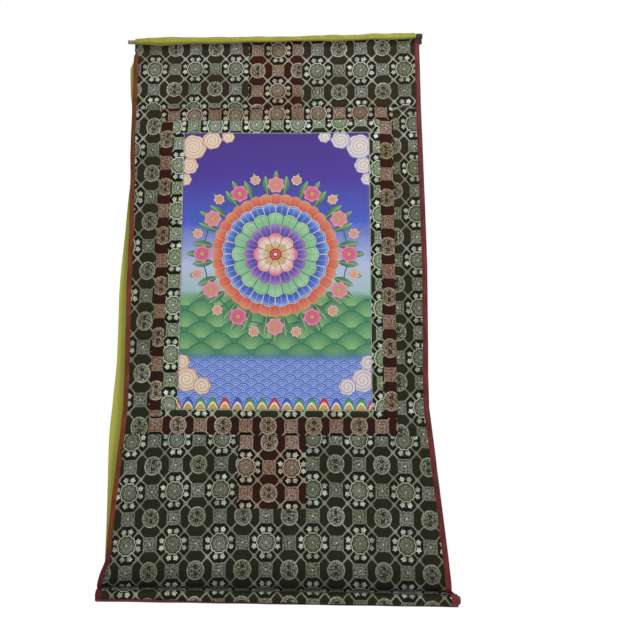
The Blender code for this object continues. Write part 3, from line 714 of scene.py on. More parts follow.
class Bench:
    """One material under construction: it adds nodes, sets them and links them."""

    def __init__(self, name: str) -> None:
        """Start a material with a Principled shader and nothing on it."""
        self.material = bpy.data.materials.new(name)
        self.material.use_nodes = True
        self.tree = self.material.node_tree
        self.shader = self.tree.nodes["Principled BSDF"]

    def node(self, kind: str, settings: dict[str, object], **sockets: Value) -> bpy.types.Node:
        """Add a node.

        Args:
            kind: the node's type.
            settings: its own settings, set before its sockets.
            **sockets: values or wires by socket name, with _ for a blank, or input_N by number.

        Returns:
            The node.
        """
        node = self.tree.nodes.new(kind)
        for key, value in settings.items():
            setattr(node, key, value)
        for key, value in sockets.items():
            place = int(key[6:]) if key.startswith("input_") else key.replace("_", " ")
            self.plug(node.inputs[place], value)
        return node

    def plug(self, socket: bpy.types.NodeSocket, value: Value) -> None:
        """Link a wire or a socket into an input, or set the input's own value."""
        if isinstance(value, Wire):
            self.tree.links.new(value.socket, socket)
        elif isinstance(value, bpy.types.NodeSocket):
            self.tree.links.new(value, socket)
        else:
            socket.default_value = value

    def maths(self, operation: str, *values: Wire | float) -> Wire:
        """Add a Math node on up to three values."""
        sockets = {f"input_{i}": value for i, value in enumerate(values)}
        node = self.node("ShaderNodeMath", {"operation": operation}, **sockets)
        return Wire(self, node.outputs[0])

    def angle(self, x: Wire, y: Wire) -> Wire:
        """Angle of a point in radians, anticlockwise from x."""
        return self.maths("ARCTAN2", y, x)

    def length(self, x: Wire, y: Wire) -> Wire:
        """Distance from the origin: the root of the sum of squares."""
        return (x * x + y * y).maths("SQRT")

    def mix(self, factor: Wire | float, first: Value, second: Value) -> bpy.types.NodeSocket:
        """Mix two colours: the first at 0 and the second at 1."""
        node = self.node("ShaderNodeMix", {"data_type": "RGBA"},
                         input_0=factor, input_6=first, input_7=second)
        return node.outputs[2]

    def tint(self, colour: Value, shade: Wire) -> bpy.types.NodeSocket:
        """Multiply a colour by a number, as Vector Math."""
        node = self.node("ShaderNodeVectorMath", {"operation": "SCALE"}, input_0=colour[:3]
                         if isinstance(colour, tuple) else colour, Scale=shade)
        return node.outputs[0]

    def map_axes(self, name: str) -> tuple[Wire, Wire]:
        """Split a UV map of the piece into its two numbers."""
        uv = self.node("ShaderNodeUVMap", {"uv_map": name})
        parts = self.node("ShaderNodeSeparateXYZ", {}, Vector=uv.outputs[0])
        return Wire(self, parts.outputs[0]), Wire(self, parts.outputs[1])

    def place_axes(self) -> tuple[Wire, Wire, Wire]:
        """Split Object coordinates into x, y and z."""
        place = self.node("ShaderNodeTexCoord", {})
        parts = self.node("ShaderNodeSeparateXYZ", {}, Vector=place.outputs["Object"])
        return tuple(Wire(self, parts.outputs[i]) for i in range(3))

    def noise(self, x: Wire, y: Wire, scale: float, detail: float = 2.0,
              z: Wire | float = 0.0) -> Wire:
        """Smooth noise from about 0 to 1, with this many waves to the unit."""
        vector = self.node("ShaderNodeCombineXYZ", {}, input_0=x, input_1=y, input_2=z)
        node = self.node("ShaderNodeTexNoise", {}, Vector=vector.outputs[0], Scale=scale,
                         Detail=detail)
        return Wire(self, node.outputs[0])

    def chance(self, value: Wire) -> Wire:
        """An even random number from 0 to 1 for each value."""
        node = self.node("ShaderNodeTexWhiteNoise", {"noise_dimensions": "1D"}, W=value)
        return Wire(self, node.outputs["Value"])

    def ramp(self, factor: Wire, stops: list[tuple[float, Colour]]) -> bpy.types.NodeSocket:
        """Colour ramp through the given stops."""
        node = self.node("ShaderNodeValToRGB", {})
        stored = node.color_ramp.elements
        while len(stored) < len(stops):
            stored.new(0.5)
        for element, (place, colour) in zip(stored, stops):
            element.position, element.color = place, colour
        self.plug(node.inputs[0], factor)
        return node.outputs[0]

    def bump(self, height: Wire, distance: float, strength: float) -> bpy.types.NodeSocket:
        """Bump of a height from 0 to 1."""
        node = self.node("ShaderNodeBump", {}, Strength=strength, Distance=distance, Height=height)
        return node.outputs[0]

    def finish(self, **sockets: Value) -> bpy.types.Material:
        """Set the shader's sockets and hand over the material."""
        for key, value in sockets.items():
            self.plug(self.shader.inputs[key.replace("_", " ")], value)
        return self.material


# Finishes


@dataclass(frozen=True)
class Brocade:
    """Woven brocade: a net of diagonal lines with lotus, roundel and square at its nodes.

    A lotus sits where both node numbers are even, a roundel where both are odd, and a square at
    the rest. The four cells next to a lotus hold pairs of small blossoms.
    """

    name: str
    ground: Colour
    ground_warm: Colour
    blossom_ground: Colour
    line: Colour
    lotus: Colour
    roundel: Colour
    square: Colour
    trace: Colour
    heart: Colour
    blossom: Colour
    glint: Colour
    pitch_x: float = PITCH_X
    pitch_s: float = PITCH_S
    lotus_radius: float = 11.9
    roundel_radius: float = 11.8
    square_half: float = 9.2
    blossom_radius: float = 3.3
    # Half the distance of the two blossoms in a cell
    blossom_offset: float = 5.2
    brightness: float = 1.0
    # Share of painted highlight that the threads take on
    painted_highlight: float = 0.8
    # Share by which the figure is brighter at the lower end
    bright_low: float = 0.0
    # How far the thread has yellowed at the upper end, and into what
    aged: float = 0.5
    aged_thread: Colour = dye(160, 150, 104)

    def build(self) -> bpy.types.Material:
        """Make the front of the cloth; its cloth map is in millimetres from a lotus."""
        bench = Bench(self.name)
        u, v = bench.map_axes("cloth")
        _, _, height = bench.place_axes()
        glow = bench.noise(u, v, 0.017, 1.0)
        u, v = self._unsteady(bench, u, v)
        col, row = (u / self.pitch_x + 0.5).floor(), (v / self.pitch_s + 0.5).floor()
        dx, dz = u - col * self.pitch_x, v - row * self.pitch_s
        odd_col, odd_row = col % 2.0, row % 2.0
        ax, az = abs(dx), abs(dz)
        net = self._net(ax, az)
        sideways = (ax / self.pitch_x) > (az / self.pitch_s)
        blossom_cell = sideways * (1 - odd_row) + (1 - sideways) * (1 - odd_col)
        speckle = ((bench.noise(u, v, 0.46, 1.0) - 0.42) * 5.0).held()
        lotus_in, lotus = self._lotus(bench, dx, dz, speckle)
        round_in, ring, dark = self._roundel(bench, dx, dz, ax, az, speckle)
        square_in, square, heart = self._square(ax, az, speckle)
        is_lotus = (1 - odd_col) * (1 - odd_row)
        is_round = odd_col * odd_row
        is_square = 1 - is_lotus - is_round
        lotus_in, round_in = lotus_in * is_lotus, round_in * is_round
        square_in = square_in * is_square
        inside = lotus_in + round_in + square_in
        outside = 1 - inside
        blossom = self._blossoms(bench, u, v, dx, dz, sideways) * blossom_cell * outside
        traced = lotus * lotus_in + ring * round_in + square * square_in
        open_net = net * outside * (0.6 + 0.4 * speckle)
        grain = bench.noise(u, v, 0.85, 2.0)
        warm = bench.noise(u, v, 0.05, 2.0)
        warmth = ((warm - 0.35) * 1.4 + (1 + height * 1.5).held() * 0.75).held()
        base = bench.mix(warmth, self.ground, self.ground_warm)
        base = bench.mix(blossom_cell * outside, base, self.blossom_ground)
        base = bench.mix(lotus_in, base, self.lotus)
        base = bench.mix(round_in, base, self.roundel)
        base = bench.mix(square_in, base, self.square)
        base = bench.mix(dark * round_in, base, self.ground)
        thread = bench.mix(inside, self.line, self.trace)
        thread = bench.mix(heart * square_in, thread, self.heart)
        thread = bench.mix(blossom, thread, self.blossom)
        thread = bench.mix((1 + height * 2.4).held() * self.aged, thread, self.aged_thread)
        # Painted highlight: patches of glint on the threads, stronger towards the upper end
        lit = ((glow - 0.47) * 4 + (1 + height * 3.2).held() * 0.7).held()
        thread = bench.mix(lit * (grain + 0.1).held() * self.painted_highlight, thread, self.glint)
        low = (0 - height * 1.4).held()
        figure = (traced + open_net.most(blossom)).held() * (0.62 + 0.8 * grain).held()
        figure = (figure * (1 + self.bright_low * low)).held()
        colour = bench.mix(figure, base, thread)
        warp = (u * (TURN / 0.62)).sin() * 0.5 + 0.5
        fleck = bench.noise(u, v, 1.3, 1.0) + 0.4 * (bench.noise(u, v, 0.62, 1.0) - 0.5)
        # Painted shade: the cloth darkens where it turns into the tuck
        shade = 0.46 * self._tuck_shade(height)
        colour = bench.tint(
            colour, self.brightness * (0.62 + 0.10 * warp + 0.66 * fleck) * (1 - shade))
        return bench.finish(
            Base_Color=colour, Roughness=0.7 - 0.2 * figure, Metallic=0.15 * figure,
            Specular_IOR_Level=0.04,
            Normal=bench.bump(figure * 0.8 + warp * 0.2 + grain * 0.25, 0.00035, 0.55))

    @staticmethod
    def _tuck_shade(height: Wire) -> Wire:
        """Mask of the cloth that turns away into the tuck, by depth below the rod in metres."""
        start, ease_in, end, ease_out = 0.833, 0.026, 0.877, 0.008
        return ((-start - height) / ease_in).held() * ((height + end) / ease_out).held()

    def _unsteady(self, bench: Bench, u: Wire, v: Wire) -> tuple[Wire, Wire]:
        """Shift the pattern a little: a slow drift, and steps from one thread to the next."""
        drift_u = bench.noise(u, v, 0.022, 2.0) - 0.5
        drift_v = bench.noise(u, v, 0.022, 2.0, 40.0) - 0.5
        thread_u = bench.chance((v / 0.55).floor()) - 0.5
        thread_v = bench.chance((u / 0.5).floor() + 300.0) - 0.5
        return u + drift_u * 3.0 + thread_u * 0.4, v + drift_v * 3.0 + thread_v * 0.45

    def _net(self, ax: Wire, az: Wire) -> Wire:
        """Mask of the diagonal lines: distance from the line through a node and a cell corner."""
        slope = math.hypot(self.pitch_x, self.pitch_s)
        away = abs(ax * (self.pitch_s / slope) - az * (self.pitch_x / slope))
        corner = (self.pitch_x / 2 - ax + self.pitch_s / 2 - az - 3.6).inside(1.2)
        core = (away - 0.9).inside(0.7)
        groove = (away - 0.2).inside(0.4)
        return (core * (1 - 0.35 * groove)).most(corner * 0.7)

    def _blossoms(self, bench: Bench, u: Wire, v: Wire, dx: Wire, dz: Wire, sideways: Wire) -> Wire:
        """Mask of two small five-petalled blossoms in a cell, each woven a little differently."""
        cell_u = (u / self.pitch_x).maths("FRACT") * self.pitch_x - self.pitch_x / 2
        cell_v = (v / self.pitch_s).maths("FRACT") * self.pitch_s - self.pitch_s / 2
        beside = abs(dz * sideways + dx * (1 - sideways)) - self.blossom_offset
        deep = cell_u * sideways + cell_v * (1 - sideways)
        ragged = bench.noise(u, v, 0.55, 1.0) - 0.5
        far = bench.length(beside, deep)
        petals = (bench.angle(beside, deep) * 5).cos()
        flower = (far - self.blossom_radius - 0.6 * petals + 3.6 * ragged).inside(1.2)
        eye = (far - 0.8).inside(0.8)
        strength = (0.5 + 1.3 * (bench.noise(u, v, 0.06, 1.0) - 0.3)).held()
        leaf = (abs(deep) - 0.5).inside(0.8) * (beside + 3.6).inside(0.6)
        return (flower * (1 - 0.5 * eye) * strength).most(leaf * 0.25)

    def _lotus(self, bench: Bench, dx: Wire, dz: Wire, speckle: Wire) -> tuple[Wire, Wire]:
        """Scalloped lotus medallion: thin bright outline, petals in rings and a bright centre."""
        tall = dz / 1.07
        far = bench.length(dx, tall)
        turn = bench.angle(dx, tall)
        rim = far - self.lotus_radius - 1.3 * abs((turn * 5).cos())
        outline = (abs(rim) - 0.8).inside(0.6) * (0.75 + 0.5 * speckle).held()
        inner_rim = (abs(rim + 3.4) - 0.35).inside(0.7)
        petal = (turn * 8).cos()
        outer = (abs(far - 6.9 - 0.8 * petal) - 0.5).inside(0.8)
        inner = (abs(far - 3.9 - 0.6 * petal) - 0.4).inside(0.8)
        heart = (far - 1.6).inside(1.0)
        lines = (0.4 * inner_rim).most(0.62 * outer).most(0.58 * inner)
        lines = lines.most(0.4 * speckle * (rim + 2.4).inside(0.6))
        return (rim - 0.8).inside(0.4), lines.most(outline).most(heart * 0.9)

    def _roundel(self, bench: Bench, dx: Wire, dz: Wire, ax: Wire, az: Wire,
                 speckle: Wire) -> tuple[Wire, Wire, Wire]:
        """Round medallion: a speckled ring, ragged dark ovals, and dark beads at both sides."""
        far = bench.length(dx, dz * 0.94)
        ring = (abs(far - self.roundel_radius) - 0.9).inside(0.8) * (0.36 + 0.6 * speckle)
        seeds = (bench.length(ax * 1.2, az - 4.9) - 3.5 + 1.6 * (speckle - 0.5)).inside(1.4)
        beads = (bench.length(ax - 6.3, az) - 1.5).inside(1.0)
        rib = (ax - 0.35).inside(0.6) * (az - 9.0).inside(0.8)
        dark = seeds.most(beads * 0.7) * (1 - 0.55 * rib)
        disc = (0.02 + 0.6 * speckle) * (far - 10.6).inside(0.6) * (1 - dark)
        return (far - 13.0).inside(0.4), ring.most(disc), dark * 0.85

    def _square(self, ax: Wire, az: Wire, speckle: Wire) -> tuple[Wire, Wire, Wire]:
        """Square medallion of close speckles: a faint frame, a denser middle and a bright heart."""
        far = ax.most(az)
        frame_line = (abs(far - self.square_half) - 0.5).inside(0.8)
        second = (abs(far - 5.0) - 0.4).inside(0.8)
        corner = (abs(ax - az) - 0.3).inside(0.7)
        heart = (far - 1.1).inside(0.9)
        lines = (0.56 * speckle).most(0.35 * frame_line).most(0.45 * second).most(0.3 * corner)
        return (far - 10.0).inside(0.8), lines.most(heart), (far - 1.6).inside(1.4)


@dataclass(frozen=True)
class BrocadeReverse:
    """Reverse of a brocade: dull ground with the loose threads of the figure run across it."""

    name: str
    ground: Colour
    thread: Colour

    def build(self) -> bpy.types.Material:
        """Make the material: short floats in rows, denser behind the figure."""
        bench = Bench(self.name)
        u, v = bench.map_axes("cloth")
        row = (v / 0.9).floor()
        floats = bench.noise(u + bench.chance(row) * 90.0, row, 0.22, 1.0)
        blotch = bench.noise(u, v, 0.06, 2.0)
        mask = ((floats - 0.47) * 6).held() * ((blotch - 0.3) * 3).held()
        colour = bench.mix(mask * 0.55, self.ground, self.thread)
        rib = (v * TURN / 0.9).sin() * 0.5 + 0.5
        return bench.finish(
            Base_Color=bench.tint(colour, 0.85 + 0.25 * rib), Roughness=0.8 - 0.1 * mask,
            Specular_IOR_Level=0.08, Normal=bench.bump(rib + mask, 0.0003, 0.5))


@dataclass(frozen=True)
class SatinSilk:
    """Plain silk of bindings and veil: fine ribs, slow changes of shade and worn edges.

    dark_end is the colour of the top corner on the rod, hem that of the veil's front edge, and
    low the one that the silk takes on over a stretch that starts at low_from, in mm down the cloth.
    """

    name: str
    main: Colour
    shade: Colour
    light: Colour
    rib: float
    roughness: float
    streak: float = 0.12
    dark_end: Colour | None = None
    hem: Colour | None = None
    low: Colour | None = None
    low_from: float = 812.0

    def build(self) -> bpy.types.Material:
        """Make the material; its cloth map is in millimetres."""
        bench = Bench(self.name)
        u, v = bench.map_axes("cloth")
        slow = bench.noise(u, v, 0.045, 3.0)
        streak = bench.noise(u * 0.9, v * 0.05, 0.55, 2.0)
        rib = (v * (TURN / self.rib)).sin() * 0.5 + 0.5
        cross = (u * (TURN / self.rib)).sin() * 0.5 + 0.5
        slub = bench.noise(u * 0.12, v, 1.6, 1.0)
        colour = bench.mix(((slow - 0.36) * 3.4).held(), self.shade, self.main)
        colour = bench.mix(((streak - 0.52) * 5).held() * 0.55, colour, self.light)
        if self.dark_end:
            # Painted shade on the binding's top corner over the rod's end
            corner_x, corner_depth, slant = 229.0, 4.0, 0.75
            wear_and_painted_shade = (corner_depth + slant * (u - corner_x) - v).held()
            colour = bench.mix(wear_and_painted_shade, colour, self.dark_end)
        if self.hem:
            # Painted shadow line along the veil's front edge
            hem_width, raggedness = 4.6, 3.0
            hem_shadow = ((hem_width - v + raggedness * (slow - 0.5)) * 0.5).held()
            colour = bench.mix(hem_shadow * 0.8, colour, self.hem)
        if self.low:
            stretch = 22.0
            colour = bench.mix(((v - self.low_from) / stretch).held(), colour, self.low)
        shade = 0.93 + 0.05 * rib + 0.04 * cross + self.streak * (slub - 0.5)
        return bench.finish(
            Base_Color=bench.tint(colour, shade), Roughness=self.roughness + 0.12 * slow,
            Specular_IOR_Level=0.15,
            Normal=bench.bump(rib * 0.5 + cross * 0.3 + slub * 0.6, 0.00025, 0.4))


@dataclass(frozen=True)
class TurnedWood:
    """Thin wooden bar: grain along X, darker pores and handling wear."""

    name: str
    main: Colour
    dark: Colour
    roughness: float

    def build(self) -> bpy.types.Material:
        """Make the material from Object coordinates in metres."""
        bench = Bench(self.name)
        x, y, z = bench.place_axes()
        grain = bench.noise(x * 14.0, y * 900.0, 1.0, 4.0, z * 900.0)
        pores = bench.noise(x * 60.0, y * 2600.0, 1.0, 2.0, z * 2600.0)
        wear_and_painted_shade = bench.noise(x * 55.0, y * 55.0, 1.0, 3.0, z * 55.0)
        mask = ((grain - 0.4) * 2.6).held()
        colour = bench.mix(mask, self.dark, self.main)
        colour = bench.mix(((pores - 0.6) * 5).held() * 0.6, colour, self.dark)
        return bench.finish(Base_Color=bench.tint(colour, 0.8 + 0.4 * wear_and_painted_shade),
                            Roughness=self.roughness + 0.2 * wear_and_painted_shade,
                            Normal=bench.bump(grain * 0.6 + pores * 0.4, 0.0003, 0.5))


@dataclass(frozen=True)
class Thread:
    """Sewing thread: a plain dyed twist."""

    name: str
    colour: Colour

    def build(self) -> bpy.types.Material:
        """Make the material with a fine twist from Object coordinates."""
        bench = Bench(self.name)
        x, y, z = bench.place_axes()
        twist = ((x + y + z) * 9000.0).sin() * 0.5 + 0.5
        colour = bench.tint(self.colour, 0.85 + 0.3 * twist)
        return bench.finish(Base_Color=colour, Roughness=0.6, Specular_IOR_Level=0.15)


@dataclass(frozen=True)
class PaintedCloth:
    """Painted canvas with a generic lotus mandala over bands of sky, hills and water.

    Its cloth map is in millimetres: across from the middle, and down from the top edge.
    """

    name: str = "painted_lotus_mandala"
    # Depths below the top edge, and radius and width, in mm
    centre: float = 206.0
    hills_middle: float = 318.0
    hills_half: float = 46.0
    water_top: float = 372.0
    wreath_radius: float = 116.0
    petal_width: float = 19.0
    violet: Colour = dye(70, 44, 134)
    blue: Colour = dye(74, 96, 200)
    pale: Colour = dye(188, 198, 228)
    green: Colour = dye(92, 156, 116)
    leaf: Colour = dye(112, 164, 116)
    leaf_dark: Colour = dye(44, 98, 70)
    water: Colour = dye(62, 92, 196)
    foam: Colour = dye(196, 212, 244)
    coral: Colour = dye(206, 86, 84)
    pink: Colour = dye(226, 104, 150)
    magenta: Colour = dye(184, 38, 96)
    cream: Colour = dye(240, 228, 206)
    gold: Colour = dye(204, 168, 82)
    peach: Colour = dye(226, 186, 160)
    lilac: Colour = dye(196, 190, 226)
    ink: Colour = dye(34, 30, 58)

    def build(self) -> bpy.types.Material:
        """Paint the layers from the back to the front."""
        bench = Bench(self.name)
        x, y = bench.map_axes("cloth")
        wobble = bench.noise(x, y, 0.06, 3.0) - 0.5
        picture = self._ground(bench, y, wobble)
        picture = self._hills(bench, picture, x, y)
        picture = self._water(bench, picture, x, y)
        picture = self._scrolls(bench, picture, x, y)
        below = y - self.centre
        far, turn = bench.length(x, below), bench.angle(x, below)
        picture = self._sprays(bench, picture, far, turn)
        picture = self._mandala(bench, picture, far, turn)
        picture = self._border(bench, picture, x, y)
        brush = bench.noise(x, y, 0.35, 3.0)
        picture = bench.tint(picture, 0.86 + 0.28 * brush)
        weave = (x * (TURN / 0.8)).sin() * (y * (TURN / 0.8)).sin() * 0.5 + 0.5
        gilt = bench.noise(x, y, 0.9, 1.0)
        return bench.finish(Base_Color=picture, Roughness=0.5 + 0.16 * gilt, Specular_IOR_Level=0.2,
                            Normal=bench.bump(weave * 0.5 + brush * 0.6, 0.0002, 0.35))

    def _ground(self, bench: Bench, y: Wire, wobble: Wire) -> bpy.types.NodeSocket:
        """Bands of the ground from the top to the bottom, with a soft uneven line between."""
        return bench.ramp((y + wobble * 26.0) / CORE_LENGTH, [
            (0.0, self.violet), (0.17, dye(76, 54, 158)), (0.34, self.blue), (0.50, self.pale),
            (0.62, dye(160, 196, 190)), (0.70, self.green), (0.80, dye(84, 140, 130)),
            (0.86, self.water), (1.0, dye(56, 80, 178)),
        ])

    def _scales(self, bench: Bench, x: Wire, y: Wire, width: float, rise: float) -> Wire:
        """Distance from the middle of overlapping round scales, nearer rows over farther ones."""
        radius = width / 2
        row = (y / rise).floor()
        found = None
        for ahead in (0.0, 1.0, 2.0):
            number = row + ahead
            shift = (number % 2.0) * 0.5
            cell = (x / width + shift).maths("FRACT") * width - radius
            away = bench.length(cell, (number + 1.0) * rise - y)
            covers = (away - radius) < 0.0
            found = away if found is None else found * (1 - covers) + away * covers
        return found

    def _hills(self, bench: Bench, picture: Value, x: Wire, y: Wire) -> bpy.types.NodeSocket:
        """Low hills as large green scales in a band, each darker at its rim."""
        away = self._scales(bench, x + 11.0, y, 52.0, 17.0)
        band = (abs(y - self.hills_middle) - self.hills_half).inside(14.0)
        hill = bench.mix((away / 26.0).held(), dye(150, 196, 130), dye(70, 140, 100))
        hill = bench.mix((abs(away - 25.2) - 0.5).inside(0.7), hill, self.leaf_dark)
        rib = ((away / 4.2).maths("FRACT") - 0.22).inside(0.2)
        hill = bench.mix(rib * 0.3, hill, self.leaf_dark)
        return bench.mix(band, picture, hill)

    def _water(self, bench: Bench, picture: Value, x: Wire, y: Wire) -> bpy.types.NodeSocket:
        """Water as small blue scales with foam lines along their rims."""
        away = self._scales(bench, x, y, 24.0, 7.0)
        band = (self.water_top - y).inside(10.0)
        line = (abs((away / 3.4).maths("FRACT") - 0.5) - 0.17).inside(0.14)
        sea = bench.mix((away / 12.0).held(), dye(110, 150, 226), self.water)
        sea = bench.mix(line * 0.72, sea, self.foam)
        return bench.mix(band, picture, sea)

    def _scrolls(self, bench: Bench, picture: Value, x: Wire, y: Wire) -> bpy.types.NodeSocket:
        """Curling leaf scrolls in the four corners: one spiral line in each disc."""
        side = (x < 0.0)
        paint = bench.mix(side, self.lilac, self.peach)
        line = bench.mix(side, dye(120, 112, 178), dye(176, 110, 96))
        ax = abs(x)
        for cx, cy, radius in ((134, 26, 20), (104, 14, 14), (140, 58, 13), (78, 8, 9),
                               (146, 82, 9), (136, 404, 17), (112, 414, 12), (144, 378, 11)):
            far = bench.length(ax - cx, y - cy)
            turn = bench.angle(ax - cx, y - cy)
            lobes = abs((turn * 3.5).sin())
            disc = (far - radius - 1.6 * lobes).inside(0.7)
            curl = (abs((far / 5.2 - turn / TURN).maths("FRACT") - 0.5) - 0.1).inside(0.14)
            rim = (abs(far - radius - 1.6 * lobes) - 0.4).inside(0.5)
            fill = bench.mix((far / radius).held() * 0.5, self.cream, paint)
            fill = bench.mix(curl * 0.8, fill, line)
            picture = bench.mix(disc, picture, fill)
            picture = bench.mix(rim, picture, line)
        return picture

    def _folded(self, turn: Wire, count: int, shift: float = 0.0) -> tuple[Wire, Wire]:
        """Angle within the nearest of count equal sectors, and that sector's number."""
        sector = 2 * math.pi / count
        part = turn / sector + shift
        number = (part + 0.5).floor()
        return (part - number) * sector, number

    def _sprays(self, bench: Bench, picture: Value, far: Wire, turn: Wire) -> bpy.types.NodeSocket:
        """Wreath of blossoms in a ring with leaves between them."""
        wreath = self.wreath_radius
        stem = (abs(far - wreath - 2.5 * (turn * 12).cos()) - 0.9).inside(0.5)
        picture = bench.mix(stem, picture, self.leaf_dark)
        for count, shift, reach, size, wide in ((24, 0.5, wreath, 17.0, 6.4),
                                                (24, 0.0, 130.0, 11.0, 5.0)):
            fold, _ = self._folded(turn, count, shift)
            along, beside = far * fold.cos() - reach, far * fold.sin()
            shape = abs(beside) + along * along * (wide / (size * size)) - wide
            leaf = shape.inside(0.6)
            blade = bench.mix(((along / size) * 0.5 + 0.5).held(), self.leaf_dark, self.leaf)
            rib = (abs(beside) - 0.35).inside(0.4)
            blade = bench.mix(rib, blade, dye(196, 216, 168))
            blade = bench.mix((abs(shape) - 0.5).inside(0.4), blade, dye(30, 70, 56))
            picture = bench.mix(leaf, picture, blade)
        for count, shift, reach, size, centre, edge in (
                (12, 0.0, wreath, 14.5, self.magenta, dye(240, 150, 178)),
                (12, 0.5, 128.0, 9.0, self.coral, self.cream)):
            fold, number = self._folded(turn, count, shift)
            along, beside = far * fold.cos() - reach, far * fold.sin()
            near = bench.length(along, beside)
            spin = bench.angle(along, beside)
            rim = near - size + 0.15 * size * (0.5 - 0.5 * (spin * 7).cos())
            blossom = bench.mix((near / size).held(), centre, edge)
            petals = (abs(near - 0.62 * size - 0.6 * (spin * 7).cos()) - 0.4).inside(0.4)
            blossom = bench.mix(petals, blossom, self.magenta)
            blossom = bench.mix((number % 2.0) * 0.35, blossom, self.peach)
            blossom = bench.mix((near - 0.24 * size).inside(0.6), blossom, self.gold)
            blossom = bench.mix((abs(rim) - 0.4).inside(0.4), blossom, dye(140, 30, 70))
            picture = bench.mix(rim.inside(0.5), picture, blossom)
        return picture

    def _mandala(self, bench: Bench, picture: Value, far: Wire, turn: Wire) -> bpy.types.NodeSocket:
        """Rings of petals round a lotus, each ring laid over the one outside it."""
        for outer, inner, petals, tip, paint, edge, rim in (
                (101.0, 84.0, 36, 3.0, self.coral, dye(236, 150, 120), self.gold),
                (85.0, 70.0, 24, 3.4, dye(60, 92, 190), dye(120, 160, 232), self.cream),
                (70.0, 50.0, 16, 5.0, dye(128, 190, 148), dye(186, 222, 176), self.leaf_dark),
                (51.0, 36.0, 16, 4.0, dye(90, 70, 176), dye(150, 128, 214), self.gold),
                (36.0, 20.0, 8, 6.0, self.cream, self.pink, dye(170, 50, 96)),
                (21.0, 9.0, 8, 4.0, self.gold, self.cream, dye(150, 96, 40))):
            fold, number = self._folded(turn, petals, 0.5 if petals == 24 else 0.0)
            half = math.pi / petals
            bulge = (fold * (math.pi / 2 / half)).cos()
            edge_line = far - outer + tip - tip * bulge
            depth = ((far - inner) / (outer - inner)).held()
            fill = bench.mix(depth, paint, edge)
            fill = bench.mix((number % 2.0) * 0.4, fill, paint)
            vein = (abs(fold) * far - 0.4).inside(0.5)
            fill = bench.mix(vein * 0.5, fill, rim)
            gap = (half - abs(fold)) * far
            fill = bench.mix((gap - 0.55).inside(0.5), fill, rim)
            inset = (abs(edge_line + 3.6) - 0.35).inside(0.5)
            fill = bench.mix(inset * 0.7, fill, rim)
            fill = bench.mix((abs(edge_line + 0.3) - 0.5).inside(0.5), fill, rim)
            picture = bench.mix(edge_line.inside(0.6), picture, fill)
        picture = bench.mix((far - 9.5).inside(0.6), picture, self.magenta)
        picture = bench.mix((abs(far - 6.0) - 0.5).inside(0.5), picture, self.gold)
        return bench.mix((far - 2.6).inside(0.6), picture, self.cream)

    def _border(self, bench: Bench, picture: Value, x: Wire, y: Wire) -> bpy.types.NodeSocket:
        """Row of petals along the bottom edge, and a thin pale line round the picture."""
        up = CORE_LENGTH - y
        part = x / self.petal_width
        number = (part + 0.5).floor()
        beside = (part - number) * self.petal_width
        arch = up - 18.0 + 0.17 * beside * beside
        first = bench.mix(number % 2.0, dye(196, 56, 76), dye(64, 88, 190))
        petal = bench.mix(((number / 2.0).floor()) % 2.0, first, dye(80, 150, 104))
        petal = bench.mix((arch + 5.5).inside(1.5), petal, self.cream)
        petal = bench.mix((arch + 9.0).inside(0.8), petal, self.gold)
        picture = bench.mix((arch - 0.7).inside(0.6), picture, self.ink)
        picture = bench.mix(arch.inside(0.6), picture, petal)
        rim = (CORE_WIDTH / 2 - abs(x)).least(y).least(up)
        picture = bench.mix((rim - 1.7).inside(0.5) * 0.6, picture, self.ink)
        return bench.mix((rim - 0.9).inside(0.5) * 0.85, picture, dye(206, 206, 196))


OLIVE = Brocade(
    "olive_brocade", dye(38, 41, 29), dye(52, 45, 31), dye(27, 32, 22), dye(150, 149, 124),
    dye(40, 48, 33), dye(46, 47, 33), dye(46, 50, 36), dye(182, 186, 158), dye(208, 214, 190),
    dye(232, 235, 217), dye(250, 252, 240))
RED = Brocade(
    "red_brocade", dye(46, 27, 21), dye(60, 26, 18), dye(26, 19, 13), dye(162, 148, 122),
    dye(72, 46, 37), dye(70, 57, 42), dye(88, 47, 39), dye(190, 172, 146), dye(168, 96, 80),
    dye(212, 204, 184), dye(242, 236, 220), bright_low=0.22)
PALE_OLIVE = Brocade(
    "inner_olive_brocade", dye(40, 46, 29), dye(44, 42, 29), dye(20, 25, 15), dye(176, 184, 152),
    dye(58, 72, 49), dye(58, 64, 46), dye(56, 68, 48), dye(204, 217, 186), dye(220, 228, 204),
    dye(238, 241, 226), dye(252, 254, 246), brightness=1.16, aged=0.0)
OLIVE_REVERSE = BrocadeReverse("olive_brocade_reverse", dye(60, 59, 46), dye(122, 126, 106))
RED_REVERSE = BrocadeReverse("red_brocade_reverse", dye(70, 38, 32), dye(136, 112, 96))
ORANGE_RED = SatinSilk("orange_red_binding", dye(126, 58, 24), dye(98, 42, 12), dye(156, 86, 40),
                       0.7, 0.55, low=dye(84, 24, 32))
# Its dark_end is painted shade on the top corner over the rod
CRIMSON = SatinSilk("crimson_binding", dye(118, 40, 40), dye(88, 28, 28), dye(164, 74, 70),
                    0.7, 0.55, dark_end=dye(56, 44, 42))
MAROON = SatinSilk("maroon_strip", dye(112, 34, 52), dye(86, 24, 38), dye(134, 50, 66), 0.8, 0.6)
# Its hem colour is a painted shadow line along the front edge
VEIL_SILK = SatinSilk("yellow_green_veil", dye(170, 168, 64), dye(152, 152, 44), dye(196, 194, 100),
                      1.1, 0.5, hem=dye(104, 94, 34), low=dye(192, 194, 84), low_from=46.0)
ROD_WOOD = TurnedWood("rod_wood", dye(170, 170, 134), dye(128, 128, 94), 0.6)
ROLLER_WOOD = TurnedWood("roller_wood", dye(42, 30, 27), dye(24, 18, 16), 0.5)
BACKING = SatinSilk("painting_backing", dye(206, 200, 184), dye(190, 184, 166), dye(216, 210, 196),
                    0.9, 0.8)


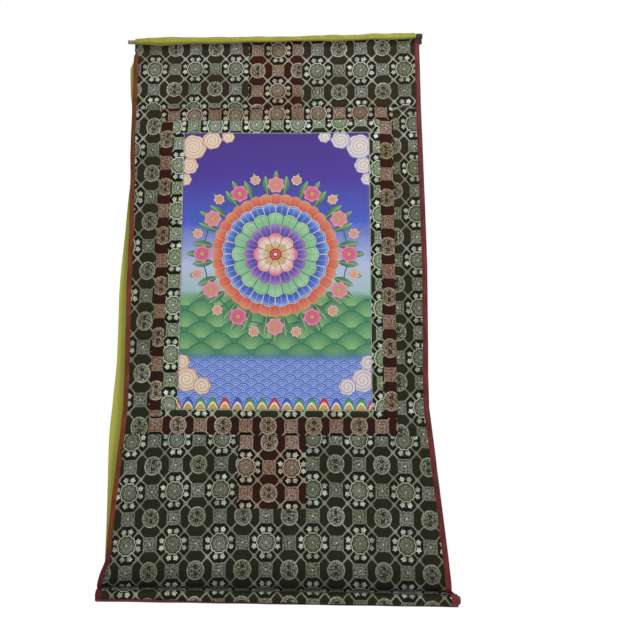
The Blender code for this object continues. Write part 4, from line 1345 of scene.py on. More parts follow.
class Dyes:
    """Every material of the scroll, built once."""

    def __init__(self) -> None:
        """Build each finish."""
        self.painting = PaintedCloth().build()
        self.backing = BACKING.build()
        self.olive = OLIVE.build()
        self.red = RED.build()
        self.pale_olive = PALE_OLIVE.build()
        self.olive_reverse = OLIVE_REVERSE.build()
        self.red_reverse = RED_REVERSE.build()
        self.orange_red = ORANGE_RED.build()
        self.crimson = CRIMSON.build()
        self.maroon = MAROON.build()
        self.veil = VEIL_SILK.build()
        self.rod = ROD_WOOD.build()
        self.roller = ROLLER_WOOD.build()
        self.olive_thread = Thread("olive_thread", dye(84, 84, 62)).build()
        self.red_thread = Thread("red_thread", dye(92, 34, 30)).build()
        self.veil_thread = Thread("veil_thread", dye(168, 174, 84)).build()


class Stuff(Enum):
    """The cloths a piece of the mount can be cut from, with the record's slot for each."""

    OLIVE = "olive_brocade"
    PALE_OLIVE = "inner_olive_brocade"
    RED = "red_brocade"

    def slot(self) -> str:
        """Name the record's material slot."""
        return "red_brocade" if self is Stuff.RED else "olive_brocade"

    def materials(self, dyes: Dyes) -> tuple[bpy.types.Material, bpy.types.Material]:
        """Front and reverse material."""
        if self is Stuff.RED:
            return dyes.red, dyes.red_reverse
        front = dyes.olive if self is Stuff.OLIVE else dyes.pale_olive
        return front, dyes.olive_reverse


@dataclass(frozen=True)
class PatternLay:
    """Where the brocade's repeat lies on a piece: a lotus at x and s, pitches and rise, in mm.

    hidden is the length of cloth that is gathered out of sight in the crease over the roller, and
    sag is how much lower the pattern hangs 200 mm to either side than in the middle.
    """

    x: float
    s: float
    pitch_x: float = PITCH_X
    pitch_s: float = PITCH_S
    rise: float = 0.0
    hidden: float = 0.0
    sag: float = 0.0

    def map(self, x: Numbers, s: Numbers) -> Numbers:
        """Pattern coordinates in mm, stretched so that the lotus pitch is the weave's own."""
        crease_start, crease_end, side = 868 * MM, 877 * MM, 200 * MM
        across = x / MM - self.x
        down = (s - CLOTH.lift(x, s)) / MM - self.s + self.rise * across
        down = down + self.hidden * smooth_step(s, crease_start, crease_end)
        down = down - self.sag * (x / side) ** 2
        return np.stack([across * PITCH_X / self.pitch_x, down * PITCH_S / self.pitch_s], axis=-1)


def declare(piece: bpy.types.Object, slot: str, nodes: tuple[str, ...], flat: tuple[float, float],
            area: float, rests_on: tuple[str, ...],
            with_pieces: tuple[bpy.types.Object, ...] = ()) -> None:
    """Tell the frame what a sheet rides on, stands for, takes its finish from and measures.

    Args:
        piece: the sheet.
        slot: the record's material slot.
        nodes: the CAD nodes it stands for.
        flat: width and length it was cut to, in metres.
        area: flat area of the cut, in square metres.
        rests_on: what it hangs from or is sewn to.
        with_pieces: stitches and the like on it.
    """
    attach(piece, BODY)
    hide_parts(*nodes)
    list(rests_on)
    log.info("%s: %d faces, flat %.0f x %.0f mm", piece.name, len(piece.data.polygons),
             flat[0] / MM, flat[1] / MM)


@dataclass
class BrocadePiece:
    """One cut piece of brocade between two side lines, laid on the hanging surface."""

    name: str
    stuff: Stuff
    stations: Numbers
    left: Line
    right: Line
    lay: PatternLay
    rests_on: tuple[str, ...]

    def build(self, dyes: Dyes) -> bpy.types.Object:
        """Make, dress and declare the piece."""
        s = self.stations
        left, right = self.left(s), self.right(s)
        columns = graded(0.0, float((right - left).max()), STRIP_CELL)
        x, rows = grid_between(left, right, s, columns / columns[-1])
        front, back = self.stuff.materials(dyes)
        piece = ClothMesh(self.name + "_cloth", CLOTH.place(x, rows), self.lay.map(x, rows),
                          CUT.brocade, front, back).build()
        flat = (max(float((right - left).max()), LEAST_FLAT), max(float(s[-1] - s[0]), LEAST_FLAT))
        area = float(np.trapz(right - left, s))
        declare(piece, self.stuff.slot(), (self.name,), flat, area, self.rests_on)
        return piece


class Painting:
    """The painted cloth in the middle."""

    name = "painting"
    cell = 3.6 * MM
    # Share of the full rectangle that is left, as the cloth narrows to its lower end
    tapered = 0.985

    def build(self, dyes: Dyes) -> bpy.types.Object:
        """Make, dress and declare the painting."""
        gap = CUT.seam_gap / 2
        s = graded(LEVELS.painting_top + gap, LEVELS.painting_bottom - gap, self.cell)
        left, right = sewn(PAINTING_LEFT, 1)(s), sewn(PAINTING_RIGHT, -1)(s)
        columns = graded(0.0, float((right - left).max()), self.cell)
        part = columns / columns[-1]
        x, rows = grid_between(left, right, s, part)
        down = (rows - s[0]) / (s[-1] - s[0]) * CORE_LENGTH
        across = np.broadcast_to((part - 0.5) * CORE_WIDTH, x.shape)
        picture = np.stack([across, down], axis=-1)
        piece = ClothMesh(self.name + "_cloth", CLOTH.place(x, rows, 0.8), picture, CUT.painting,
                          dyes.painting, dyes.backing).build()
        flat = (CORE_WIDTH * MM, CORE_LENGTH * MM)
        declare(piece, "painted_cloth", (self.name,), flat, flat[0] * flat[1] * self.tapered,
                ("inner_strip_top", "inner_strip_left", "inner_strip_right", "inner_strip_bottom"))
        return piece


class Mount:
    """Every brocade strip, panel and door of the mount."""

    def __init__(self, dyes: Dyes) -> None:
        """Keep the materials."""
        self.dyes = dyes

    def band(self, start: float, end: float) -> Numbers:
        """Stations between two cross seams, half a gap short of both."""
        return graded(start + CUT.seam_gap / 2, end - CUT.seam_gap / 2, STRIP_CELL)

    def build(self) -> None:
        """Make all pieces in order."""
        for piece in self.strips() + self.top() + [self.bottom_door()]:
            piece.build(self.dyes)
        self.bottom_panel()

    def strips(self) -> list[BrocadePiece]:
        """The inner frame, the red frame and the outer side strips."""
        at = LEVELS
        beside_painting = (at.painting_top, at.painting_bottom)
        beside_inner = (at.inner_top, at.red_bottom)
        full_height = (at.top_seam, at.bottom_seam)
        pale, red, olive = Stuff.PALE_OLIVE, Stuff.RED, Stuff.OLIVE
        inner = (sewn(INNER_LEFT, 1), sewn(INNER_RIGHT, -1))
        frame_sides = (sewn(RED_LEFT, 1), sewn(RED_RIGHT, -1))
        table = (
            ("inner_strip_left", pale, beside_painting, (inner[0], sewn(PAINTING_LEFT, -1)),
             PatternLay(-156, 222.2, pitch_s=38.6), ("inner_strip_top", "red_strip_left")),
            ("inner_strip_right", pale, beside_painting, (sewn(PAINTING_RIGHT, 1), inner[1]),
             PatternLay(165.2, 382.3, pitch_s=38.2), ("inner_strip_top", "red_strip_right")),
            ("inner_strip_top", pale, (at.inner_top, at.painting_top), inner,
             PatternLay(-32, 150.7, rise=0.03), ("red_strip_top",)),
            ("inner_strip_bottom", pale, (at.painting_bottom, at.red_bottom), inner,
             PatternLay(-39.9, 601.9), ("inner_strip_left",)),
            ("red_strip_left", red, beside_inner, (frame_sides[0], sewn(INNER_LEFT, -1)),
             PatternLay(-210.7, 216.9, pitch_s=41.0), ("red_strip_top", "outer_strip_left")),
            ("red_strip_right", red, beside_inner, (sewn(INNER_RIGHT, 1), frame_sides[1]),
             PatternLay(142.3, 399.1, pitch_s=40.2), ("red_strip_top", "outer_strip_right")),
            ("red_strip_top", red, (at.top_seam, at.inner_top), frame_sides,
             PatternLay(0.9, 133.2, rise=0.02), ("top_door", "top_panel_left")),
            ("red_strip_bottom", red, (at.red_bottom, at.bottom_seam), frame_sides,
             PatternLay(-40.5, 601.1), ("red_strip_left", "red_strip_right")),
            ("outer_strip_left", olive, full_height, (panel_edge(-1), sewn(RED_LEFT, -1)),
             PatternLay(-233.7, 193.4, pitch_s=40.7), ("top_panel_left",)),
            ("outer_strip_right", olive, full_height, (sewn(RED_RIGHT, 1), panel_edge(1)),
             PatternLay(222, 380.4, pitch_s=38.2), ("top_panel_right",)),
        )
        return [BrocadePiece(name, stuff, self.band(*span), *sides, lay, rests_on)
                for name, stuff, span, sides, lay, rests_on in table]

    def top(self) -> list[BrocadePiece]:
        """The top panel in two pieces with the door between, all with the rod's sleeve above."""
        over = CLOTH.sleeve_start - CLOTH.over_rod.lengths[::-1]
        hanging = graded(CLOTH.sleeve_start, LEVELS.top_seam - CUT.seam_gap / 2, STRIP_CELL,
                         (False, True))
        stations = np.concatenate([over, hanging[1:]])
        table = (
            ("top_panel_left", Stuff.OLIVE, panel_edge(-1), straight(DOORS.top_left, -1),
             PatternLay(-135.5, 50.0)),
            ("top_panel_right", Stuff.OLIVE, straight(DOORS.top_right, 1), panel_edge(1),
             PatternLay(66.7, 55.6, 35.6, 39.2, 0.02)),
            ("top_door", Stuff.RED, straight(DOORS.top_left, 1), straight(DOORS.top_right, -1),
             PatternLay(1.8, 90.7)),
        )
        return [BrocadePiece(name, stuff, stations, *sides_and_lay, ("top_rod",))
                for name, stuff, *sides_and_lay in table]

    def bottom_door(self) -> BrocadePiece:
        """The red door below the painting."""
        return BrocadePiece(
            "bottom_door", Stuff.RED, self.band(LEVELS.bottom_seam, LEVELS.door_end),
            straight(DOORS.bottom_left, 1), straight(DOORS.bottom_right, -1),
            PatternLay(-38.6, 698.7), ("red_strip_bottom", "bottom_panel"))

    def bottom_panel(self) -> bpy.types.Object:
        """The bottom panel with its notch for the door, then the tuck and the roller's sleeve."""
        gap = CUT.seam_gap / 2
        beside = graded(LEVELS.bottom_seam + gap, LEVELS.door_end + gap, STRIP_CELL)
        near_tuck = 3.4 * MM
        below = graded(LEVELS.door_end + gap, LEVELS.tuck, near_tuck, (True, False))
        s = np.concatenate([beside, below[1:], LEVELS.tuck + CLOTH.tuck.lengths[1:]])
        left, right = panel_edge(-1)(s), panel_edge(1)(s)
        door_left, door_right = DOORS.bottom_left - gap, DOORS.bottom_right + gap
        sides = graded(0.0, door_left - float(left.min()), STRIP_CELL)
        sides = sides / sides[-1]
        door = graded(door_left, door_right, STRIP_CELL)
        x = np.concatenate([
            left[:, None] + (door_left - left)[:, None] * sides[None, :-1],
            np.repeat(door[None, :], len(s), axis=0),
            door_right + (right - door_right)[:, None] * sides[None, 1:]], axis=1)
        rows = np.repeat(s[:, None], x.shape[1], axis=1)
        kept = np.ones((len(s) - 1, x.shape[1] - 1), bool)
        kept[:len(beside) - 1, len(sides) - 1:len(sides) + len(door) - 2] = False
        lay = PatternLay(-209.4, 732.4, 33.6, 37.3, rise=0.0112, hidden=18.5, sag=5.0)
        piece = ClothMesh("bottom_panel_cloth", CLOTH.place(x, rows), lay.map(x, rows), CUT.brocade,
                          self.dyes.olive, self.dyes.olive_reverse, kept).build()
        notch = (door_right - door_left) * (LEVELS.door_end - LEVELS.bottom_seam)
        area = float(np.trapz(right - left, s)) - notch
        declare(piece, Stuff.OLIVE.slot(), ("bottom_panel",),
                (float((right - left).max()), float(s[-1] - s[0])), area,
                ("red_strip_bottom", "bottom_roller"))
        return piece


@dataclass
class StitchRow:
    """A row of short stitches, each a thin round-ended bar that lies along its line."""

    name: str
    centres: Numbers
    along: Numbers
    normals: Numbers
    length: float
    radius: float = 0.28 * MM
    sides: int = 6

    def build(self, material: bpy.types.Material) -> bpy.types.Object:
        """Make the row: rings at five places along each stitch, shrunk and sunk at its ends."""
        place = np.array([-0.5, -0.42, 0.0, 0.42, 0.5])
        swell = np.array([0.25, 0.8, 1.0, 0.8, 0.25])
        lift = np.array([-0.9, 0.0, 0.5, 0.0, -0.9])
        angle = np.arange(self.sides) * 2 * math.pi / self.sides
        beside = np.cross(self.along, self.normals)
        centre = (self.centres[:, None] + self.along[:, None] * (self.length * place)[None, :, None]
                  + self.normals[:, None] * (self.radius * lift)[None, :, None])
        ring = (beside[:, None, None] * np.cos(angle)[None, None, :, None]
                + self.normals[:, None, None] * np.sin(angle)[None, None, :, None])
        points = centre[:, :, None] + ring * (self.radius * swell)[None, :, None, None]
        stitches = len(self.centres)
        number = np.arange(stitches * 5 * self.sides).reshape(stitches, 5, self.sides)
        after = np.roll(number, -1, axis=2)
        walls = np.stack([number[:, :-1], number[:, 1:], after[:, 1:], after[:, :-1]], axis=-1)
        first, last = number[:, 0], number[:, -1]
        caps = [ends[:, order] for ends, order in ((first, [0, 1, 2, 3]), (first, [0, 3, 4, 5]),
                                                   (last, [3, 2, 1, 0]), (last, [5, 4, 3, 0]))]
        faces = np.concatenate([walls.reshape(-1, 4)] + caps)
        mesh = mesh_from(self.name, points.reshape(-1, 3), faces)
        mesh.materials.append(material)
        return link(mesh)


@dataclass(frozen=True)
class Sewing:
    """How a row is sewn: distance and length of its stitches, their height, and the thread.

    lift is the height above the middle of the cloth.
    """

    pitch: float
    length: float
    lift: float
    thread: bpy.types.Material

    def places(self, start: float, end: float, beat: float) -> Numbers:
        """Middles of the stitches from start to end, uneven as if sewn by hand."""
        even = np.arange(start, end, self.pitch)
        return even + 0.18 * self.pitch * np.sin(beat * np.arange(len(even)))

    def sew(self, name: str, points: Numbers, along: Numbers, normals: Numbers) -> bpy.types.Object:
        """Make the row on points of the cloth, riding on the scroll."""
        row = StitchRow(name, points + normals * self.lift, along, normals, self.length)
        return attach(row.build(self.thread), BODY)

    def down(self, name: str, x: Line, start: float, end: float) -> bpy.types.Object:
        """Sew a row down the cloth between two s, at the line's x."""
        s = self.places(start, end, 2.3)
        return self.sew(name, *CLOTH.along_edge(x(s), s))

    def across(self, name: str, s: float, left: float, right: float) -> bpy.types.Object:
        """Sew a row across the cloth between two x, at one s."""
        x = self.places(left, right, 1.9)
        step = 0.4 * MM
        rows = s + step * np.array([[-1.0], [0.0], [1.0]]) + np.zeros((1, len(x)))
        points = CLOTH.place(np.repeat(x[None, :], 3, axis=0), rows)
        along = np.gradient(points[1], axis=0)
        along /= np.linalg.norm(along, axis=1, keepdims=True)
        return self.sew(name, points[1], along, grid_normals(points)[1])


@dataclass
class Binding:
    """Narrow silk binding down one side edge and on round the end of the sleeve."""

    name: str
    side: int
    slot: str
    swell: float = 0.45 * MM
    rounding: float = 1.1 * MM
    cell: float = 3.4 * MM
    # Width as cut, with the turnings
    cut_width: float = 0.011

    def build(self, cloth: bpy.types.Material, thread: bpy.types.Material) -> bpy.types.Object:
        """Make the strip, its stitches and their declaration."""
        if self.side < 0:
            hanging = np.arange(LEVELS.binding_left, LEVELS.tuck - 1 * MM, self.cell)
        else:
            below = np.arange(CLOTH.sleeve_start + 2 * MM, LEVELS.tuck - 1 * MM, self.cell)
            hanging = np.concatenate([CLOTH.sleeve_start - CLOTH.over_rod.lengths[::-1], below])
        s = np.concatenate([hanging, LEVELS.tuck + CLOTH.tuck.lengths])
        across = np.concatenate([[0.0, 0.04, 0.1], np.linspace(0.18, 0.82, 7), [0.9, 0.96, 1.0]])
        outer = edge_at(MOUNT_EDGES, s, self.side)
        inner = outer - self.side * binding_width(s, self.side)
        low, high = (outer, inner) if self.side < 0 else (inner, outer)
        x, rows = grid_between(low, high, s, across)
        points = CLOTH.place(x, rows)
        ripple = 0.10 * MM * np.sin(rows / (2.3 * MM) + 1.6 * np.sin(rows / (9 * MM)))
        crown = self.swell * (1 - (2 * across - 1) ** 2)[None, :] + ripple
        points = points + grid_normals(points) * crown[..., None]
        pattern = np.stack([x, rows], axis=-1) / MM
        piece = ClothMesh(self.name + "_cloth", points, pattern, CUT.binding, cloth, cloth,
                          rounding=self.rounding).build()
        area = float(np.trapz(binding_width(s, self.side), s))
        declare(piece, self.slot, (self.name,), (self.cut_width, float(s[-1] - s[0])), area,
                ("outer_strip_left" if self.side < 0 else "outer_strip_right",),
                (self._stitches(thread),))
        return piece

    def _stitches(self, thread: bpy.types.Material) -> bpy.types.Object:
        """Sew the row beside the binding's inner edge, from under the rod on to the roll."""
        from_edge = 1.5 * MM
        sewing = Sewing(4.6 * MM, 2.7 * MM, CUT.binding / 2 + 0.35 * MM, thread)

        def line(s: Numbers) -> Numbers:
            inside = binding_width(s, self.side) - from_edge
            return edge_at(MOUNT_EDGES, s, self.side) - self.side * inside

        return sewing.down(self.name + "_stitches", line, 28 * MM, LEVELS.tuck + 30 * MM)


class UnderStrip:
    """Maroon strip under the roller's sleeve, seen more at the left than at the right."""

    name = "under_strip"
    # Angles round the roll from its front, in degrees: the back edge and the middle front edge
    end = 148.0
    middle_start = 60

    def build(self, dyes: Dyes) -> bpy.types.Object:
        """Make the strip round the underside, its front edge slanting back to the right."""
        left, right = MOUNT_EDGES[-1, 1], MOUNT_EDGES[-1, 2]
        x = np.linspace(left, right, 120)[None, :]
        down = np.linspace(0.0, 1.0, 16)[:, None]
        # The front edge slants back to the right, and is a little uneven
        start = 30 + 24 * smooth_step(x, left, 0.0) + 30 * smooth_step(x, 0.0, 0.09)
        start = start + 1.5 * np.sin(x / (21 * MM)) + 1.0 * np.sin(x / (9 * MM) + 1)
        angle = np.radians(start + (self.end - start) * down)
        radius = ROLL.sleeve_radius + CUT.binding / 2 + CUT.seam_gap + CUT.strip / 2 + 0.1 * MM
        radius = radius + 0.15 * MM * np.sin(x / (13 * MM) + 3 * down)
        y = CLOTH.roller[0] - radius * np.cos(angle)
        z = CLOTH.roller[1] - radius * np.sin(angle)
        points = np.stack([np.broadcast_to(x, y.shape), y, z], axis=-1)
        pattern = np.stack([points[..., 0], angle * radius], axis=-1) / MM
        piece = ClothMesh(self.name + "_cloth", points, pattern, CUT.strip, dyes.maroon,
                          dyes.maroon).build()
        width = math.radians(self.end - self.middle_start) * ROLL.sleeve_radius
        declare(piece, "maroon_strip", (self.name,), (width, float(right - left)),
                width * float(right - left), ("bottom_panel",))
        return piece


class Veil:
    """Silk veil: a short uneven front edge, over the rod, and a long fall behind the mount."""

    name = "veil"
    radius = 6.8 * MM
    back = 13 * MM
    settled = 130 * MM
    width = 466
    length = 845 * MM
    flat = (0.480, 0.875)
    area = 0.473 * 0.872
    hem_sway = 5 * MM
    # Lower edge at the front of the rod, in millimetres: x and depth below the rod's middle
    front_edge = np.array([
        (-237.5, 6.4), (-226, 8.6), (-204, 10.4), (-188, 10.8), (-171, 9.6), (-152, 7.6),
        (-138, 7.2), (-105, 7.6), (-72, 6.7), (-50, 5.4), (-38, 5.0), (-5, 6.0), (28, 4.5),
        (61, 4.9), (94, 6.5), (110, 6.4), (127, 5.8), (160, 5.0), (193, 6.8), (212, 6.6),
        (228, 5.6),
    ])
    # Bunches over the rod: x, width and height
    bunches = (
        (-176, 20, 1.4), (-140, 16, 1.0), (-100, 18, 1.5), (-62, 14, 0.8), (-30, 16, 1.6),
        (4, 14, 1.0), (60, 16, 1.3), (92, 14, 2.0), (124, 12, 1.0), (158, 16, 2.2), (196, 13, 1.2),
    )
    # Soft folds of the fall behind the mount, and its finer gathers, in the same columns
    folds = (
        (-222, 16, 1.8), (-168, 22, -2.2), (-96, 26, 2.4), (-22, 24, -2.0), (52, 30, 2.2),
        (128, 22, -2.4), (192, 20, 2.0),
    )
    gathers = (
        (-230, 5, 0.7), (-205, 6, -0.8), (-188, 5, 0.8), (-150, 7, -0.7), (-131, 6, 0.8),
        (-108, 6, -0.6), (-70, 7, 0.8), (-48, 6, -0.8), (-6, 7, 0.7), (20, 6, -0.7),
        (40, 6, 0.7), (78, 7, -0.8), (104, 6, 0.8), (150, 6, -0.7), (170, 6, 0.8), (214, 6, -0.7),
    )

    def _fall(self, part: Numbers, down: Numbers) -> Numbers:
        """Behind the rod: back to the hanging plane over the folds, with a swaying hem."""
        left, right = edge_at(VEIL_EDGES, down, -1), edge_at(VEIL_EDGES, down, 1)
        x = left + (right - left) * part
        settled = smooth_step(down, 0.0, self.settled)
        radius = self.radius * rod_end_squeeze(x)
        y = radius + settled * (self.back - radius + bells(self.folds, x))
        lean = x + 6 * MM * np.sin(down / (120 * MM))
        fine = bells(self.gathers, lean) * smooth_step(down, 4 * MM, 40 * MM)
        y = y + fine * (0.55 + 0.45 * np.cos(down / (210 * MM)))
        edge = np.minimum(part, 1 - part)
        flutter = 0.9 * MM * np.exp(-(edge / 0.02) ** 2) * np.sin(down / (23 * MM) + 9 * part)
        y = y + flutter * smooth_step(down, 30 * MM, 90 * MM)
        sway = self.hem_sway * np.sin(math.pi * (3 * part + 0.2)) * (down / self.length) ** 4
        return np.stack([x, y, rod_lift(x) * (1 - settled) - down - sway], axis=-1)

    def _over(self, part: Numbers, angle: Numbers) -> Numbers:
        """Round the rod at an angle from the front, with bunches and slight lengthwise wrinkles."""
        left, right = VEIL_EDGES[0, 1], VEIL_EDGES[0, 2]
        x, angle = np.broadcast_arrays(left + (right - left) * part, angle)
        slack = 0.5 * MM * smooth_step(x, -235 * MM, -208 * MM) + bells(self.bunches, x)
        wrinkle = (0.22 * MM * np.sin(angle * 4 + x / (19 * MM))
                   + 0.12 * MM * np.sin(angle * 9 - x / (11 * MM)))
        radius = self.radius * rod_end_squeeze(x) + (slack + wrinkle) * np.sin(angle) ** 2
        return np.stack([x, -radius * np.cos(angle), radius * np.sin(angle) + rod_lift(x)], axis=-1)

    def build(self, dyes: Dyes) -> bpy.types.Object:
        """Make the veil, its stitches and their declaration."""
        edge = np.array([0.0, 0.6, 1.6, 3.0, 5.0]) / self.width
        part = np.concatenate([edge, np.linspace(0.0135, 0.9865, 112), 1 - edge[::-1]])[None, :]
        x = VEIL_EDGES[0, 1] + (VEIL_EDGES[0, 2] - VEIL_EDGES[0, 1]) * part
        lower = MM * np.interp(x, self.front_edge[:, 0] * MM, self.front_edge[:, 1])
        lower = lower + 0.25 * MM * np.sin(x / (6.5 * MM))
        share = np.linspace(0.0, 1.0, 7)[:-1, None]
        flap_z = rod_lift(x) - lower * (1 - share)
        curl = 0.5 * MM * np.sin(x / (15 * MM)) * (1 - share) ** 2
        flap_y = -self.radius * rod_end_squeeze(x) - 0.35 * MM * (1 - share) - np.abs(curl)
        flap = np.stack([np.broadcast_to(x, flap_z.shape), flap_y, flap_z], axis=-1)
        over = self._over(part, np.linspace(0.0, math.pi, 31)[:, None])
        down = np.concatenate([
            np.linspace(3 * MM, 60 * MM, 16)[:-1], np.linspace(60 * MM, 835 * MM, 125),
            self.length - np.array([7.0, 4.5, 2.5, 1.2, 0.0]) * MM])
        fall = self._fall(np.broadcast_to(part, (len(down), part.shape[1])), down[:, None])
        points = np.concatenate([flap, over, fall])
        steps = np.linalg.norm(np.diff(points, axis=0), axis=2).mean(axis=1)
        run = np.concatenate([[0.0], np.cumsum(steps)])
        thickness = self._thickness(points, run)
        pattern = np.stack([points[..., 0] / MM,
                            np.repeat(run[:, None] / MM, part.shape[1], axis=1)], axis=-1)
        piece = ClothMesh(self.name + "_cloth", points, pattern, thickness, dyes.veil,
                          dyes.veil).build()
        row = self._stitches(fall, down, thickness, dyes.veil_thread)
        declare(piece, "veil_silk", (self.name,), self.flat, self.area, ("top_rod",), row)
        return piece

    def _thickness(self, points: Numbers, run: Numbers) -> Numbers:
        """Cloth thickness, doubled over the hems 7 mm wide down both sides and along the bottom."""
        x = points[..., 0]
        side = np.minimum(x - x.min(axis=1, keepdims=True), x.max(axis=1, keepdims=True) - x)
        end = run[-1] - run
        hem = np.maximum(1 - smooth_step(side, 5.6 * MM, 7.4 * MM),
                         (1 - smooth_step(end, 8.0 * MM, 10.0 * MM))[:, None])
        return CUT.veil * (1 + 0.75 * hem)

    def _stitches(self, fall: Numbers, down: Numbers, thickness: Numbers,
                  thread: bpy.types.Material) -> tuple[bpy.types.Object, ...]:
        """Hem stitches down both sides of the fall, on the side that faces away."""
        rows = []
        normals = grid_normals(fall)
        for name, column in (("veil_hem_left_stitches", 5), ("veil_hem_right_stitches", -6)):
            at = np.arange(60 * MM, 830 * MM, 6.0 * MM)
            line = np.stack([np.interp(at, down, fall[:, column, i]) for i in range(3)], axis=-1)
            out = -np.stack([np.interp(at, down, normals[:, column, i]) for i in range(3)], axis=-1)
            along = np.gradient(line, axis=0)
            along /= np.linalg.norm(along, axis=1, keepdims=True)
            lift = float(thickness.max()) / 2 + 0.1 * MM
            row = StitchRow(name, line + out * lift, along, out, 3.2 * MM, 0.22 * MM)
            rows.append(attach(row.build(thread), BODY))
        return tuple(rows)


@dataclass
class TurnedBar:
    """A round wooden bar along X with eased ends, slightly uneven as if drawn by hand."""

    name: str
    slot: str
    radius: float
    left: float
    right: float
    centre: tuple[float, float]
    ease: float
    uneven: float
    rise: Line | None = None

    def build(self, material: bpy.types.Material) -> bpy.types.Object:
        """Make the bar: radius along x times a circle, closed by small discs at both ends."""
        sides = 48
        length = self.right - self.left
        eased = self.ease * (1 - np.cos(np.linspace(0, math.pi / 2, 7)))
        inset = self.ease * np.sin(np.linspace(0, math.pi / 2, 7))
        middle = np.linspace(self.ease, length - self.ease, 90)[1:-1]
        x = np.concatenate([[0.0, 0.0], eased, middle, length - eased[::-1], [length, length]])
        shell = np.full(len(middle), self.radius)
        end = self.radius - self.ease + inset
        caps = np.array([0.02, 0.6]) * (self.radius - self.ease)
        radius = np.concatenate([caps, end, shell, end[::-1], caps[::-1]])
        angle = np.arange(sides) * 2 * math.pi / sides
        slow, quick = np.sin(x / (37 * MM))[:, None], np.sin(x / (11 * MM))[:, None]
        wave = 1 + self.uneven * (slow * np.cos(angle - 0.7)[None, :]
                                  + 0.5 * quick * np.cos(2 * angle)[None, :])
        out = radius[:, None] * wave
        place = x + self.left
        rise = self.rise(place) if self.rise else np.zeros_like(place)
        points = np.stack([np.repeat(place[:, None], sides, axis=1),
                           self.centre[0] + out * np.cos(angle)[None, :],
                           self.centre[1] + rise[:, None] + out * np.sin(angle)[None, :]], axis=-1)
        number = np.arange(len(x) * sides).reshape(len(x), sides)
        after = np.roll(number, -1, axis=1)
        walls = np.stack([number[:-1], after[:-1], after[1:], number[1:]], axis=-1).reshape(-1, 4)
        step = np.arange(1, sides - 2, 2)
        fan = np.stack([np.zeros_like(step), step, step + 1, step + 2], axis=1)
        faces = np.concatenate([walls, number[0][fan[:, ::-1]], number[-1][fan]])
        mesh = mesh_from(self.name + "_turned", points.reshape(-1, 3), faces)
        mesh.materials.append(material)
        mesh.set_sharp_from_angle(angle=math.radians(50))
        piece = link(mesh)
        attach(piece, BODY)
        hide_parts(self.name)
        log.info("%s: %d faces", piece.name, len(mesh.polygons))
        return piece


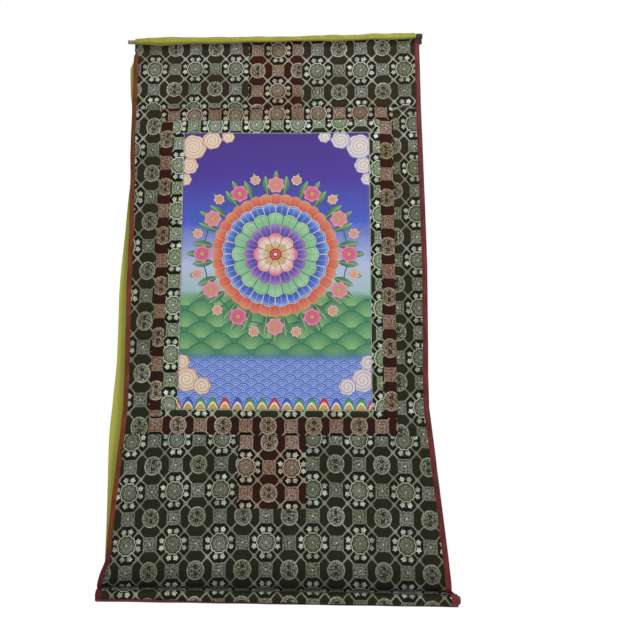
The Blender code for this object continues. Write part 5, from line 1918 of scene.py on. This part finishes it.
class Studio:
    """Plain pale floor, soft lights and the camera."""

    floor_level = -1.45
    azimuth = math.radians(2.05)
    elevation = math.radians(-12.97)
    distance = 1.2
    target = Vector((0.0045, 0.0, -0.4782))
    roll = math.radians(0.63)
    lens = 44.1
    shift = (0.0672, 0.0016)

    def build(self) -> None:
        """Make all of it."""
        self._floor()
        self._lights()
        self._camera()

    def _floor(self) -> None:
        """Lay a wide pale floor far below the scroll."""
        half = 40.0
        corners = np.array([(-half, -half), (half, -half), (half, half), (-half, half)])
        vertices = np.column_stack([corners, np.full(4, self.floor_level)])
        mesh = mesh_from("floor", vertices, np.array([[0, 1, 2, 3]]))
        bench = Bench("pale_floor")
        mesh.materials.append(bench.finish(Base_Color=(1.0, 1.0, 1.0, 1.0), Roughness=1.0))
        link(mesh)

    def _lights(self) -> None:
        """White surroundings, a large soft key from the upper right front and a weaker fill."""
        world = bpy.data.worlds.new("studio")
        world.use_nodes = True
        sky = world.node_tree.nodes["Background"]
        sky.inputs["Color"].default_value = (1.0, 1.0, 1.0, 1.0)
        sky.inputs["Strength"].default_value = 1.0
        bpy.context.scene.world = world
        middle = Vector((0.0, 0.0, -0.45))
        for name, place, size, power in (("key", (0.85, -1.2, 0.85), 0.5, 27.0),
                                         ("fill", (-1.2, -1.5, 0.1), 1.0, 3.0)):
            data = bpy.data.lights.new(name, "AREA")
            data.size, data.energy = size, power
            lamp = bpy.data.objects.new(name, data)
            lamp.location = place
            lamp.rotation_euler = (middle - lamp.location).to_track_quat("-Z", "Y").to_euler()
            bpy.context.scene.collection.objects.link(lamp)

    def _camera(self) -> None:
        """Place the camera below the scroll's middle, looking up at it."""
        cosine = math.cos(self.elevation)
        back = Vector((math.sin(self.azimuth) * cosine, -math.cos(self.azimuth) * cosine,
                       math.sin(self.elevation)))
        level = (-back).cross(Vector((0, 0, 1))).normalized()
        upright = level.cross(-back)
        right = math.cos(self.roll) * level + math.sin(self.roll) * upright
        up = -math.sin(self.roll) * level + math.cos(self.roll) * upright
        data = bpy.data.cameras.new("camera")
        data.lens, data.sensor_width = self.lens, 36.0
        data.shift_x, data.shift_y = self.shift
        data.clip_start = 0.05
        camera = bpy.data.objects.new("camera", data)
        camera.matrix_world = Matrix.Translation(self.target + back * self.distance) @ Matrix(
            (right, up, back)).transposed().to_4x4()
        bpy.context.scene.collection.objects.link(camera)
        bpy.context.scene.camera = camera
        bpy.context.scene.view_settings.view_transform = "Standard"


class Scroll:
    """The whole scroll, built piece by piece."""

    def build(self) -> None:
        """Build every sub-assembly in order."""
        dyes = Dyes()
        TurnedBar("top_rod", "rod_wood", ROD.radius, ROD.left, ROD.right, (0.0, 0.0),
                  0.7 * MM, 0.03, rod_lift).build(dyes.rod)
        TurnedBar("bottom_roller", "roller_wood", ROLL.roller_radius, ROLL.roller_left,
                  ROLL.roller_right, CLOTH.roller, 1.6 * MM, 0.008).build(dyes.roller)
        Painting().build(dyes)
        Mount(dyes).build()
        Binding("binding_left", -1, "orange_red_binding").build(dyes.orange_red, dyes.red_thread)
        Binding("binding_right", 1, "crimson_binding").build(dyes.crimson, dyes.red_thread)
        UnderStrip().build(dyes)
        Veil().build(dyes)
        self._seam_stitches(dyes)

    def _seam_stitches(self, dyes: Dyes) -> None:
        """Sew the rod's sleeve shut, and a fine row round the painting."""
        lift, thread = CUT.brocade / 2 + 0.1 * MM, dyes.olive_thread
        coarse = Sewing(5.2 * MM, 3.1 * MM, lift, thread)
        coarse.across("rod_sleeve_stitches", CLOTH.sleeve_start + 3 * MM, -0.232, 0.231)
        fine, away = Sewing(4.2 * MM, 2.5 * MM, lift, thread), 2.6 * MM
        top, bottom = LEVELS.painting_top, LEVELS.painting_bottom
        fine.across("painting_top_stitches", top - away, -0.150, 0.150)
        fine.across("painting_bottom_stitches", bottom + away, -0.144, 0.148)
        fine.down("painting_left_stitches", lambda s: PAINTING_LEFT.at(s) - away, top, bottom)
        fine.down("painting_right_stitches", lambda s: PAINTING_RIGHT.at(s) + away, top, bottom)


def write_sizes() -> None:
    """Write the CAD box and the visual model's box as plain lists."""
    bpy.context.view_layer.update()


def main() -> None:
    """Build the studio and the scroll, and write the sizes."""
    logging.basicConfig(level=logging.INFO, format="%(name)s %(message)s")
    Studio().build()
    Scroll().build()
    write_sizes()


if __name__ == "__main__":
    main()
